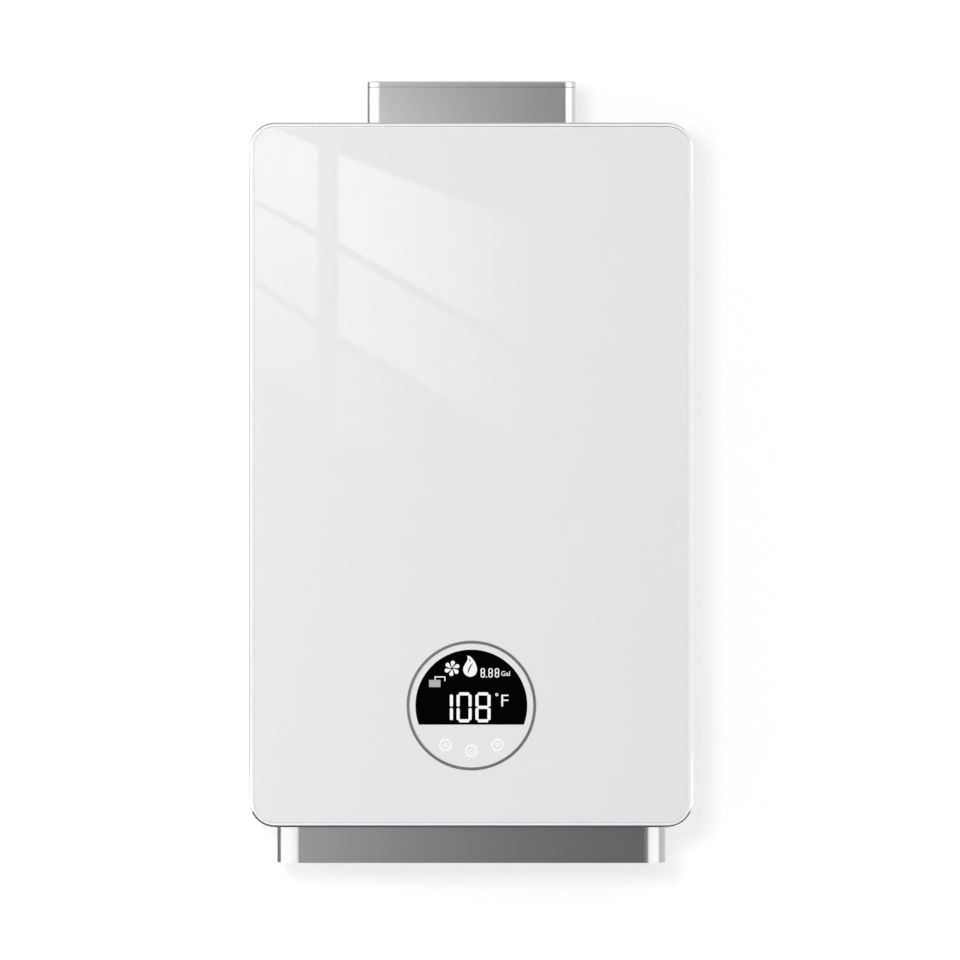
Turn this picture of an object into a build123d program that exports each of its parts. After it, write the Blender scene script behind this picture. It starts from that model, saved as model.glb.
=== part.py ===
from build123d import *

import os

# Wall-hung tankless propane water heater, in millimetres.
#
# +Z is up and the front faces -Y. The origin lies on the wall, midway between the two upper
# hanging holes. Sizes are kept as depths in front of the wall and levels above the skirt's rim,
# which spot() turns into points. Each function below makes one group of pieces, and every piece
# is written to parts/ under its own name.

# ---------------------------------------------------------------- driving sizes
# Shared clearances. OVER is how far a cutting body runs past the face that it cuts.
OVER = 1.0
PASS_FIT = 0.2
CLOSE_FIT = 0.1
RUNNING = 0.06
SNUG = 0.05
END_PLAY = 0.3

# Front panel: a tray with a raised rim, and a glass plate taped into it
PANEL_W = 350.0
PANEL_H = 555.0
PANEL_R = 20.5
RIM_W = 3.0
RIM_ROUND = 2.2
RIM_PROUD = 0.5
TRAY_BACK_ROUND = 1.0
TRAY_FLOOR = 2.0
TAPE_T = 2.0
TAPE_W = 14.0
TAPE_INSET = 26.0
TAPE_GAP = 4.0
GLASS_T = 5.0
GLASS_GAP = 0.3
GLASS_BEVEL = 0.7

# Cabinet: a back plate and a front cover that slides over its rim
BODY_W = 307.0
BODY_D = 135.5
BODY_R = 17.3
TOP_ROUND = 2.5
SHEET = 1.0
BACK_T = 1.2
RIM_DEPTH = 13.0
COVER_GAP = 0.3
SKIRT_DROP = 28.5
TOP_SETBACK = 30.0
BAY_H = 45.0
FLOOR_T = 1.2
FLOOR_FLANGE_H = 16.0

# Wall fixing
HANG_SPACING = 200.0
HANG_HOLE_R = 3.5
HANG_RISE = 14.0
HANG_FLANGE_H = 26.0
HANG_FLANGE_W = 240.0
HANG_FLANGE_R = 8.0
LOWER_HOLE_LEVEL = 20.0

# Flue hood, lid and vent collar
HOOD_RISE = 33.5
HOOD_W = 165.0
HOOD_D = 110.0
HOOD_R = 10.0
HOOD_FLANGE = 8.0
HOOD_EDGE_GAP = 4.75
HOOD_SCREW_INSET = 16.0
LID_H = 4.5
LID_ROUND = 0.8
SEAM = 0.35
FLUE_BORE_R = 51.1
COLLAR_WALL = 1.0
COLLAR_SEAT = 35.0
COLLAR_FLANGE = 5.0
COLLAR_FLANGE_T = 1.2
STOP_RING_W = 1.5
STOP_RING_T = 1.5

# Backdraught damper: two half-moon petals on one rod, above a ledge
PETAL_R = 48.4
PETAL_T = 0.8
PETAL_START = 3.7
DAMPER_ROD_R = 2.0
DAMPER_ROD_FIT = 0.03
DAMPER_DROP = 12.0
KNUCKLE_R = 3.2
KNUCKLE_L = 18.0
KNUCKLE_GAP = 2.0
LEDGE_R = 45.0
LEDGE_T = 1.0

# Side louvres
LOUVRE_COUNT = 9
LOUVRE_PITCH = 10.0
LOUVRE_LEVEL = 78.0
LOUVRE_L = 64.0
LOUVRE_H = 5.0
LOUVRE_OUT = 2.6
LOUVRE_LEAF = 0.9
LOUVRE_ROOT = 2.2

# Pan-head screws
SCREW_R = 1.9
SCREW_HEAD_R = 3.5
SCREW_HEAD_T = 2.0
SCREW_HEAD_ROUND = 0.8
CROSS_L = 4.0
CROSS_W = 0.9
CROSS_DEPTH = 1.0
COVER_SHANK = 7.0
HOOD_SHANK = 6.0
PANEL_SHANK_PAST = 1.2
COVER_SCREW_LOW = 24.0
COVER_SCREW_MIDDLE = 290.0
COVER_SCREW_HIGH = 528.0
PANEL_SCREW_X = 110.0
PANEL_SCREW_LOW = 80.0
PANEL_SCREW_MIDDLE = 300.0
PANEL_SCREW_HIGH = 520.0
BOSS_R = 5.0
BOSS_GAP = 0.2

# Round control module in the glass
MODULE_R = 51.0
MODULE_LEVEL = 95.9
RING_W = 2.1
RING_PROUD = 0.35
RING_ROUND = 0.3
WINDOW_R = 44.0
WINDOW_CHORD = 15.0
LENS_T = 2.0
CUP_R = 45.5
CUP_WALL = 2.0
CUP_DEPTH = 14.0
CUP_FIT = 0.5
BOARD_T = 1.6
LCD_T = 5.0
LCD_EDGE = 3.0
LCD_OVERLAP = 2.0
BOARD_POST_R = 2.5
BOARD_POST_OUT = 24.0
KEY_X = 20.5
KEY_DROP = 31.0
MIDDLE_KEY_DROP = 35.7
KEY_SPRING_R = 3.0
KEY_SPRING_WALL = 1.0

# Pipe fittings through the floor
FITTING_INSET = 20.0
THREAD_R = 10.67
THREAD_L = 24.0
THREAD_CHAMFER = 1.0
THREAD_BORE_R = 7.9
NECK_R = 10.4
NUT_ACROSS = 27.0
NUT_T = 6.0
FITTING_FLANGE_R = 15.0
FITTING_FLANGE_T = 4.0
SPIGOT_R = 9.0
SPIGOT_H = 6.0

# Copper pipes
PIPE_R = 7.0
PIPE_BORE_R = 6.0
PIPE_BEND = 10.0
PIPE_SEAT = 0.2
PIPE_GAP = 2.0
PIPE_STRAIGHT = 2.0
PIPE_WALL_GAP = 11.5
HOT_PIPE_RISE = 88.4

# Inlet filter, water block and flow sensor
FILTER_H = 14.0
FILTER_WALL = 0.7
FILTER_SLOTS = 3
FILTER_SLOT_START = 3.0
FILTER_SLOT_PITCH = 3.5
FILTER_SLOT_W = 3.0
FILTER_SLOT_H = 1.6
WATER_BLOCK = 34.0
WATER_BLOCK_H = 36.0
WATER_BLOCK_R = 4.0
SENSOR_R = 13.0
SENSOR_BORE_R = 9.0
SENSOR_H = 34.0
SENSOR_END = 2.0
SENSOR_CAP_T = 4.0
SENSOR_PLUG_OUT = 5.0
SENSOR_PLUG_W = 14.0
SENSOR_PLUG_END = 8.0
SPIDER_W = 2.0
SPIDER_BOSS_R = 2.4
SPIDER_ROOT = 0.5
ROTOR_SHAFT_R = 1.0
ROTOR_HUB_R = 3.0
ROTOR_TIP_R = 8.4
ROTOR_BLADES = 5
ROTOR_BLADE_T = 1.0
ROTOR_BLADE_H = 18.84
ROTOR_TWIST = 25.0
ROTOR_ROOT = 1.0

# Drain cock beside the cold inlet
DRAIN_SPACING = 42.0
DRAIN_R = 8.0
DRAIN_TOP = 26.0
DRAIN_NOSE = 8.0
DRAIN_PORT_R = 5.0
DRAIN_PORT_LEVEL = 16.0
DRAIN_PORT_SEAT = 0.5
DRAIN_STEM_R = 3.0
DRAIN_STEM_RISE = 12.0
DRAIN_BAR_L = 26.0
DRAIN_BAR_W = 6.0
DRAIN_BAR_R = 2.7
DRAIN_BAR_T = 7.0
DRAIN_BAR_DROP = 1.0

# Cord gland beside the hot outlet
GLAND_SPACING = 42.0
GLAND_BORE_R = 3.6
GLAND_R = 6.2
GLAND_ACROSS = 18.0
GLAND_HEX_T = 6.0
GLAND_DOME_R = 8.0
GLAND_DOME_L = 14.0
GLAND_DOME_ROUND = 3.5
GLAND_TAIL = 8.0
GLAND_NUT_T = 4.0

# Gas valve, its two solenoids and the riser
VALVE_W = 56.0
VALVE_D = 44.0
VALVE_H = 50.0
VALVE_R = 5.0
VALVE_WELL = 33.0
VALVE_PORT = 25.0
COIL_X = 15.0
COIL_R = 12.0
COIL_H = 32.0
COIL_CAP = 3.0
COIL_ROUND = 1.5
PLUNGER_R = 5.0
PLUNGER_L = 16.0
SPRING_R = 3.6
SPRING_WIRE_R = 0.35
SPRING_TURNS = 6
RISER_R = 6.0
RISER_WALL = 1.0
RISER_BEND = 12.0

# Burner with its manifold and injectors
BURNER_SPACE = 136.0
BURNER_H = 68.0
BLADE_PITCH = 20.0
BLADE_MARGIN = 4.0
BLADE_T = 12.0
BLADE_WALL = 0.8
BLADE_EASE = 3.6
BLADE_H = 55.0
BLADE_END_GAP = 4.0
BLADE_MOUTH_R = 4.32
BLADE_MOUTH_L = 20.0
PORT_COUNT = 8
PORT_W = 3.2
PORT_L = 4.0
PORT_DEPTH = 6.0
AIR_SLOT_W = 3.0
AIR_SLOT_INSET = 10.0
MANIFOLD_D = 12.0
MANIFOLD_H = 20.0
MANIFOLD_WALL = 2.0
MANIFOLD_RISE = 5.0
MANIFOLD_PAST = 12.0
MANIFOLD_STANDOFF = 1.5
MANIFOLD_FOOT = 5.0
MANIFOLD_WINDOW_EDGE = 3.0
MANIFOLD_INLET_R = 4.0
INJECTOR_R = 3.0
INJECTOR_BORE_R = 0.8
INJECTOR_TIP_GAP = 2.0

# Combustion chamber and heat exchanger
FRONT_SPACE = 27.75
SHELL_T = 1.2
SHELL_R = 5.0
TUBE_COUNT = 4
TUBE_MARGIN = 1.8
TUBE_DROP = 32.0
TUBE_OVERHANG = 6.0
FIN_PITCH = 8.0
FIN_MARGIN = 5.0
FIN_T = 0.8
FIN_H = 44.0
FIN_GAP = 0.3
WRAP_LEVEL = 25.0
WRAP_STEP = 26.0
BRACKET_X = 70.0
BRACKET_W = 20.0
BRACKET_H = 22.0
BRACKET_T = 1.5
BRACKET_LEVEL = 12.0

# Smoke collector and blower
COLLECTOR_H = 20.0
COLLECTOR_GAP = 0.5
DUCT_W = 68.0
DUCT_START = 6.0
SCROLL_R = 52.0
SCROLL_X = -26.0
SCROLL_START = 42.0
OUTLET_H = 72.0
OUTLET_PLATE = 118.0
BLOWER_CLEAR = 4.0
EYE_R = 28.0
IMPELLER_R = 38.0
IMPELLER_START = 8.0
IMPELLER_END = 12.0
IMPELLER_BLADES = 22
IMPELLER_BLADE_L = 8.0
IMPELLER_BLADE_T = 1.0
IMPELLER_BLADE_TURN = 30.0
IMPELLER_BLADE_INSET = 5.1
IMPELLER_RING_W = 9.0
IMPELLER_DISC_T = 2.0
HUB_R = 8.0
HUB_INSET = 12.0
SHAFT_R = 3.0
SHAFT_PRESS = 0.02
SHAFT_HOLE_R = 9.0
MOTOR_R = 28.0
MOTOR_L = 22.0
MOTOR_ROUND = 3.0
MOTOR_CAP = 4.0
MOTOR_GAP = 12.5

# Controller
CONTROLLER_W = 120.0
CONTROLLER_D = 28.0
CONTROLLER_H = 100.0
CONTROLLER_R = 4.0
CONTROLLER_RISE = 17.8
CONTROLLER_WALL = 2.0
BOARD_INSET = 5.0
BOARD_STANDOFF = 4.0
BOARD_STUD_R = 3.0
BOARD_STUD_DROP = 12.0
CHIP_COUNT = 4
CHIP_PITCH = 28.0
CHIP_W = 14.0
CHIP_H = 22.0
CHIP_T = 12.0
CHIP_RISE = 20.0

# Spark parts, pressure switch and temperature sensors
TRANSFORMER_GAP = 4.5
TRANSFORMER_W = 28.0
TRANSFORMER_D = 34.0
TRANSFORMER_H = 40.0
TRANSFORMER_R = 3.0
ELECTRODE_X = 50.0
ELECTRODE_R = 3.0
ELECTRODE_RISE = 7.0
ELECTRODE_OUT = 12.0
ELECTRODE_IN = 10.0
ELECTRODE_COLLAR = 3.0
ELECTRODE_COLLAR_T = 2.5
ELECTRODE_TIP_R = 1.0
ELECTRODE_TIP_L = 14.0
LEAD_R = 1.5
LEAD_BEND = 14.0
LEAD_LAST_BEND = 6.0
LEAD_OUT = 7.0
SWITCH_GAP = 38.5
SWITCH_R = 18.0
SWITCH_T = 14.0
SWITCH_ROUND = 2.0
NIPPLE_L = 5.0
HOSE_R = 3.0
HOSE_BORE_R = 1.8
HOSE_BEND = 20.0
HOSE_GAP = 0.5
TAP_L = 6.0
TAP_RISE = 41.6
CUTOUT_R = 8.0
CUTOUT_T = 6.0
CUTOUT_RISE = 14.0
CLIP_WALL = 2.5
CLIP_L = 12.0
CLIP_DROP = 38.0

# ---------------------------------------------------------------- derived levels and depths
PANEL_DEPTH = TRAY_FLOOR + TAPE_T + GLASS_T + RIM_PROUD
PANEL_TOP = SKIRT_DROP + PANEL_H
PANEL_MID = SKIRT_DROP + PANEL_H / 2
MODULE_AT = SKIRT_DROP + MODULE_LEVEL
BODY_TOP = PANEL_TOP - TOP_SETBACK
HOOD_TOP = PANEL_TOP + HOOD_RISE
HANG_LEVEL = BODY_TOP + HANG_RISE
RIM_Z = -HANG_LEVEL
MID = BODY_D / 2
COVER_BACK = BACK_T + COVER_GAP
COVER_INNER = BODY_W / 2 - SHEET
PLATE_HALF = COVER_INNER - COVER_GAP
PLATE_TOP = BODY_TOP - SHEET - COVER_GAP
COVER_SCREW_DEPTH = COVER_BACK + RIM_DEPTH / 2
COVER_SCREW_LEVELS = (COVER_SCREW_LOW, COVER_SCREW_MIDDLE, COVER_SCREW_HIGH)
PANEL_SCREW_LEVELS = (PANEL_SCREW_LOW, PANEL_SCREW_MIDDLE, PANEL_SCREW_HIGH)
FLOOR_TOP = BAY_H + FLOOR_T
TRAY_FRONT = BODY_D + TRAY_FLOOR
GLASS_BACK = TRAY_FRONT + TAPE_T
GLASS_FRONT = GLASS_BACK + GLASS_T
PANEL_FRONT = BODY_D + PANEL_DEPTH
LENS_BACK = GLASS_FRONT - LENS_T
CUP_BACK = LENS_BACK - CUP_DEPTH
COLLAR_R = FLUE_BORE_R + COLLAR_WALL
STOP_TOP = HOOD_TOP - COLLAR_SEAT
DAMPER_LEVEL = STOP_TOP - STOP_RING_T - DAMPER_DROP

# Two pipes run down beside the chamber, so the chamber has the width that they leave it.
HOT_PIPE_X = COVER_INNER - PIPE_WALL_GAP - PIPE_R
COLD_RISE_X = HOT_PIPE_X - 2 * PIPE_R - PIPE_GAP
TUBE_END = COLD_RISE_X - PIPE_BEND - PIPE_STRAIGHT
CHAMBER_HALF = TUBE_END - TUBE_OVERHANG
CHAMBER_W = 2 * CHAMBER_HALF
CHAMBER_D = BODY_D - 2 * FRONT_SPACE
CHAMBER_BACK = MID - CHAMBER_D / 2
CHAMBER_FRONT = MID + CHAMBER_D / 2
TUBE_PITCH = (CHAMBER_D - 2 * (SHELL_T + PIPE_R + TUBE_MARGIN)) / (TUBE_COUNT - 1)

# The stack fills the height between the valve's space and the blower under the cabinet's top.
BLOWER_TOP = BODY_TOP - SHEET - BLOWER_CLEAR
FAN_LEVEL = BLOWER_TOP - OUTLET_H
SCROLL_END = BODY_D - SHEET - MOTOR_GAP - MOTOR_L
SCROLL_WALL = SCROLL_X + SCROLL_R
TAP_LEVEL = FAN_LEVEL + TAP_RISE
COLLECTOR_TOP = FAN_LEVEL - SCROLL_R - COLLECTOR_GAP
STACK_TOP = COLLECTOR_TOP - COLLECTOR_H
BURNER_BOTTOM = FLOOR_TOP + BURNER_SPACE
BURNER_TOP = BURNER_BOTTOM + BURNER_H
ELECTRODE_LEVEL = BURNER_TOP + ELECTRODE_RISE
TUBE_LEVEL = STACK_TOP - TUBE_DROP
MANIFOLD_BACK = CHAMBER_FRONT + MANIFOLD_STANDOFF
MANIFOLD_MID = MANIFOLD_BACK + MANIFOLD_D / 2
MANIFOLD_LEVEL = BURNER_BOTTOM + MANIFOLD_RISE

# The fittings stand on the floor, with the water and gas blocks on top of them.
FITTING_X = CHAMBER_HALF - FITTING_INSET
DRAIN_X = FITTING_X + DRAIN_SPACING
GLAND_X = -FITTING_X - GLAND_SPACING
FITTING_TOP = FLOOR_TOP + FITTING_FLANGE_T + SPIGOT_H
STUB_TOP = BAY_H - NUT_T
STUB_END = STUB_TOP - THREAD_L
WATER_TOP = FITTING_TOP + WATER_BLOCK_H
SENSOR_TOP = WATER_TOP + SENSOR_H
SENSOR_CAP_TOP = SENSOR_TOP + SENSOR_CAP_T
VALVE_TOP = FITTING_TOP + VALVE_H
COIL_TOP = VALVE_TOP + COIL_H


# ---------------------------------------------------------------- patterns
def centred(count, pitch):
    """Places of an evenly spaced row about zero."""
    return [(i - (count - 1) / 2) * pitch for i in range(count)]


def row_in(width, pitch):
    """As many evenly spaced places as fit in a width, about zero."""
    return centred(int(width / pitch) + 1, pitch)


def tube_depths():
    """Depths of the exchanger's tubes, from the wall outwards."""
    return [MID + place for place in centred(TUBE_COUNT, TUBE_PITCH)]


def blade_places():
    """Places across of the burner blades and their injectors."""
    return row_in(CHAMBER_W - 2 * SHELL_T - BLADE_T - 2 * BLADE_MARGIN, BLADE_PITCH)


def panel_screw_places():
    """Places of the screws that hold the panel tray to the cover, from inside."""
    return [(x, level) for x in (-PANEL_SCREW_X, PANEL_SCREW_X) for level in PANEL_SCREW_LEVELS]


def hood_screw_places():
    """Places of the four screws in the hood's flange."""
    across = HOOD_W / 2 + HOOD_FLANGE / 2
    along = HOOD_D / 2 - HOOD_SCREW_INSET
    return [(x, MID + d) for x in (-across, across) for d in (-along, along)]


# ---------------------------------------------------------------- shapes
def spot(x, depth, level):
    """A point from its place across, its depth in front of the wall and its level above the rim."""
    return Vector(x, -depth, RIM_Z + level)


def block(x, depth, level):
    """A box between two places across, two depths and two levels."""
    size = (x[1] - x[0], depth[1] - depth[0], level[1] - level[0])
    return Pos(spot(sum(x) / 2, sum(depth) / 2, sum(level) / 2)) * Box(*size)


def rod(radius, start, end):
    """A round bar between two points."""
    along = end - start
    base = (Align.CENTER, Align.CENTER, Align.MIN)
    return Plane(origin=start, z_dir=along) * Cylinder(radius, along.length, align=base)


def tube(outer, inner, start, end):
    """A straight tube between two points."""
    return rod(outer, start, end) - rod(inner, start, end)


def post(radius, x, depth, level):
    """An upright round bar between two levels."""
    return rod(radius, spot(x, depth, level[0]), spot(x, depth, level[1]))


def hole_down(radius, x, depth, level):
    """An upright cutting bar that runs past both levels."""
    return post(radius, x, depth, (level[0] - OVER, level[1] + OVER))


def pin_out(radius, x, depth, level):
    """A round bar that points away from the wall, between two depths."""
    return rod(radius, spot(x, depth[0], level), spot(x, depth[1], level))


def hole_through(radius, x, depth, level):
    """A cutting bar that points away from the wall and runs past both depths."""
    return pin_out(radius, x, (depth[0] - OVER, depth[1] + OVER), level)


def side_hole(radius, side, out, level):
    """A cutting bar through one side wall at the cover screws' depth."""
    inner = spot(side * (out - SHEET - BACK_T - OVER), COVER_SCREW_DEPTH, level)
    return rod(radius, inner, spot(side * (out + OVER), COVER_SCREW_DEPTH, level))


def bent_bar(route, bend, radius):
    """A solid bar along straight runs joined by tangent arcs."""
    path = FilletPolyline(*route, radius=bend)
    return sweep(Plane(origin=path @ 0, z_dir=path % 0) * Circle(radius), path=path)


def bent_tube(route, bend, outer, inner):
    """A tube along straight runs joined by tangent arcs."""
    return bent_bar(route, bend, outer) - bent_bar(route, bend, inner)


def facing(outline, depth, level):
    """A flat outline seen from the front, extruded between two depths."""
    plane = Plane(origin=spot(0, depth[0], level), x_dir=(1, 0, 0), z_dir=(0, -1, 0))
    return extrude(plane * outline, depth[1] - depth[0])


def standing(outline, x, depth, level):
    """A flat outline seen from above, extruded between two levels."""
    return extrude(Plane(origin=spot(x, depth, level[0])) * outline, level[1] - level[0])


def front_edges(solid):
    """Edges of the face that is furthest from the wall."""
    return solid.faces().sort_by(Axis.Y)[0].edges()


def top_edges(solid):
    """Edges of the highest face."""
    return solid.faces().sort_by(Axis.Z)[-1].edges()


def bottom_edges(solid):
    """Edges of the lowest face."""
    return solid.faces().sort_by(Axis.Z)[0].edges()


def cabinet_prism(half_width, depth, radius, level, top_round):
    """The cabinet's plan with its two front corners rounded, as a solid with eased top edges."""
    plan = Rectangle(2 * half_width, depth[1] - depth[0])
    plan = fillet(plan.vertices().group_by(Axis.Y)[0], radius)
    solid = standing(plan, 0, sum(depth) / 2, level)
    eased = [edge for edge in top_edges(solid) if edge.center().Y < -depth[0] - SNUG]
    return fillet(eased, top_round)


def screw(seat, inward, shank):
    """A pan-head screw with a cross recess; the seat is under its head and inward is its way in."""
    base = (Align.CENTER, Align.CENTER, Align.MIN)
    head = Cylinder(SCREW_HEAD_R, SCREW_HEAD_T, align=base)
    head = fillet(top_edges(head), SCREW_HEAD_ROUND)
    recess = Pos(0, 0, SCREW_HEAD_T - CROSS_DEPTH / 2)
    cross = recess * Box(CROSS_L, CROSS_W, CROSS_DEPTH) + recess * Box(CROSS_W, CROSS_L, CROSS_DEPTH)
    body = Pos(0, 0, -shank) * Cylinder(SCREW_R, shank, align=base)
    return Plane(origin=seat, z_dir=-inward) * (head + body - cross)


def hex_nut(across, bore, x, level):
    """A hexagon nut by its size across the flats."""
    outline = RegularPolygon(across / 2, 6, major_radius=False)
    return standing(outline, x, MID, level) - hole_down(bore, x, MID, level)


def save(name, *solids):
    """Writes one named node from one or more solids."""
    shape = solids[0] if len(solids) == 1 else Compound(children=list(solids))
    export_step(shape, f"parts/{name}.step")


# ---------------------------------------------------------------- cabinet
def back_plate():
    """Rear pan: a flat sheet with a shallow rim, a hanging flange above and four wall holes."""
    half = HANG_FLANGE_W / 2
    flange = block((-half, half), (0, BACK_T), (0, BODY_TOP + HANG_FLANGE_H))
    flange = fillet(flange.edges().filter_by(Axis.Y).group_by(Axis.Z)[-1], HANG_FLANGE_R)
    rim = block((-PLATE_HALF, PLATE_HALF), (0, RIM_DEPTH), (0, PLATE_TOP))
    rim = fillet(rim.edges().filter_by(Axis.Y).group_by(Axis.Z)[-1], TOP_ROUND)
    rim -= block(
        (-PLATE_HALF + BACK_T, PLATE_HALF - BACK_T),
        (BACK_T, RIM_DEPTH + OVER),
        (-OVER, PLATE_TOP - BACK_T),
    )
    plate = flange + rim
    for x in (-HANG_SPACING / 2, HANG_SPACING / 2):
        for level in (HANG_LEVEL, LOWER_HOLE_LEVEL):
            plate -= hole_through(HANG_HOLE_R, x, (0, BACK_T), level)
    for side in (-1, 1):
        for level in COVER_SCREW_LEVELS:
            plate -= side_hole(SCREW_R + SNUG, side, PLATE_HALF, level)
    save("back_plate", plate)


def louvre(side, level):
    """One pressed louvre on a side wall: a sloping leaf with two closed ends."""
    leaf = Polyline(
        (0, LOUVRE_H),
        (LOUVRE_OUT, 0),
        (LOUVRE_OUT - LOUVRE_LEAF, 0),
        (0, LOUVRE_H - LOUVRE_ROOT),
        close=True,
    )
    end = Polyline((0, LOUVRE_H), (LOUVRE_OUT, 0), (0, 0), close=True)
    start = spot(side * BODY_W / 2, MID - side * LOUVRE_L / 2, level)
    plane = Plane(origin=start, x_dir=(side, 0, 0), z_dir=(0, -side, 0))
    solid = extrude(plane * make_face(leaf), LOUVRE_L)
    solid += extrude(plane * make_face(end), LOUVRE_LEAF)
    return solid + extrude(plane.offset(LOUVRE_L - LOUVRE_LEAF) * make_face(end), LOUVRE_LEAF)


def front_cover():
    """Silver front cover: front, sides and top in one sheet, open at the back and below."""
    cover = cabinet_prism(BODY_W / 2, (COVER_BACK, BODY_D), BODY_R, (0, BODY_TOP), TOP_ROUND)
    cover -= cabinet_prism(
        COVER_INNER,
        (COVER_BACK - OVER, BODY_D - SHEET),
        BODY_R - SHEET,
        (-OVER, BODY_TOP - SHEET),
        TOP_ROUND - SHEET,
    )
    cover -= hole_down(COLLAR_R + PASS_FIT, 0, MID, (BODY_TOP - SHEET, BODY_TOP))
    cover -= hole_through(CUP_R + CUP_FIT, 0, (BODY_D - SHEET, BODY_D), MODULE_AT)
    for x, level in panel_screw_places():
        cover -= hole_through(SCREW_R + SNUG, x, (BODY_D - SHEET, BODY_D), level)
    for x, depth in hood_screw_places():
        cover -= hole_down(SCREW_R + SNUG, x, depth, (BODY_TOP - SHEET, BODY_TOP))
    vent = LOUVRE_L / 2 - LOUVRE_LEAF
    for side in (-1, 1):
        for level in COVER_SCREW_LEVELS:
            cover -= side_hole(SCREW_R + PASS_FIT, side, BODY_W / 2, level)
        for i in range(LOUVRE_COUNT):
            level = LOUVRE_LEVEL + i * LOUVRE_PITCH
            wall = sorted((side * (COVER_INNER - OVER), side * (BODY_W / 2 + OVER)))
            cover -= block(wall, (MID - vent, MID + vent), (level, level + LOUVRE_H - LOUVRE_ROOT))
            cover += louvre(side, level)
    save("front_cover", cover)


def case_screws():
    """Cover screws in both sides, hood screws on top, and panel screws driven from inside."""
    screws = []
    for side in (-1, 1):
        for level in COVER_SCREW_LEVELS:
            seat = spot(side * BODY_W / 2, COVER_SCREW_DEPTH, level)
            screws.append(screw(seat, Vector(-side, 0, 0), COVER_SHANK))
    for x, depth in hood_screw_places():
        screws.append(screw(spot(x, depth, BODY_TOP + SHEET), Vector(0, 0, -1), HOOD_SHANK))
    panel_shank = SHEET + TRAY_FLOOR + PANEL_SHANK_PAST
    for x, level in panel_screw_places():
        screws.append(screw(spot(x, BODY_D - SHEET, level), Vector(0, -1, 0), panel_shank))
    save("case_screws", *screws)


def bottom_plate():
    """Floor of the cabinet, raised inside the skirt, with holes for the fittings."""
    half = PLATE_HALF - BACK_T - PASS_FIT
    front = BODY_D - SHEET - COVER_GAP
    plan = Rectangle(2 * half, front - BACK_T)
    plan = fillet(plan.vertices().group_by(Axis.Y)[0], BODY_R - SHEET - COVER_GAP)
    level = (BAY_H, FLOOR_TOP)
    plate = standing(plan, 0, (front + BACK_T) / 2, level)
    plate += block((-half, half), (BACK_T, BACK_T + FLOOR_T), (BAY_H, BAY_H + FLOOR_FLANGE_H))
    for x in (-FITTING_X, 0, FITTING_X):
        plate -= hole_down(NECK_R + PASS_FIT, x, MID, level)
    plate -= hole_down(GLAND_R + CLOSE_FIT, GLAND_X, MID, level)
    plate -= hole_down(DRAIN_R + CLOSE_FIT, DRAIN_X, MID, level)
    save("bottom_plate", plate)


# ---------------------------------------------------------------- front panel and display
def panel_frame():
    """Tray behind the glass, with its bright raised rim and the bosses of its screws."""
    outline = RectangleRounded(PANEL_W, PANEL_H, PANEL_R)
    tray = facing(outline, (BODY_D, PANEL_FRONT), PANEL_MID)
    tray = fillet(front_edges(tray), RIM_ROUND)
    tray = fillet(tray.faces().sort_by(Axis.Y)[-1].edges(), TRAY_BACK_ROUND)
    pocket = RectangleRounded(PANEL_W - 2 * RIM_W, PANEL_H - 2 * RIM_W, PANEL_R - RIM_W)
    tray -= facing(pocket, (TRAY_FRONT, PANEL_FRONT + OVER), PANEL_MID)
    for x, level in panel_screw_places():
        tray += pin_out(BOSS_R, x, (TRAY_FRONT, GLASS_BACK - BOSS_GAP), level)
        tray -= hole_through(SCREW_R + SNUG, x, (BODY_D, GLASS_BACK), level)
    tray -= hole_through(CUP_R + 2 * CUP_FIT, 0, (BODY_D, TRAY_FRONT), MODULE_AT)
    save("panel_frame", tray)


def glass_panel():
    """White glass plate with a bevelled edge and a round opening, and the tape that holds it."""
    edge = RIM_W + GLASS_GAP
    plate = RectangleRounded(PANEL_W - 2 * edge, PANEL_H - 2 * edge, PANEL_R - edge)
    glass = facing(plate, (GLASS_BACK, GLASS_FRONT), PANEL_MID)
    glass = chamfer(front_edges(glass), GLASS_BEVEL)
    glass -= hole_through(MODULE_R + CLOSE_FIT, 0, (GLASS_BACK, GLASS_FRONT), MODULE_AT)
    save("glass_panel", glass)

    depth = (TRAY_FRONT, GLASS_BACK)
    tall = PANEL_H / 2 - TAPE_INSET
    outer = PANEL_W / 2 - TAPE_INSET
    wide = outer - TAPE_W - TAPE_GAP
    strips = []
    for side in (-1, 1):
        across = sorted((side * outer, side * (outer - TAPE_W)))
        strips.append(block(across, depth, (PANEL_MID - tall, PANEL_MID + tall)))
        levels = sorted((PANEL_MID + side * tall, PANEL_MID + side * (tall - TAPE_W)))
        strips.append(block((-wide, wide), depth, levels))
    save("glass_tape", *strips)


def window_shape(growth):
    """The window's round top with a straight lower edge, grown all round by a clearance."""
    disc = pin_out(WINDOW_R + growth, 0, (LENS_BACK, GLASS_FRONT), MODULE_AT)
    chord = MODULE_AT - WINDOW_CHORD - growth
    wide = (-WINDOW_R - OVER, WINDOW_R + OVER)
    depth = (LENS_BACK - OVER, GLASS_FRONT + OVER)
    return disc - block(wide, depth, (MODULE_AT - WINDOW_R - OVER, chord))


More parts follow.
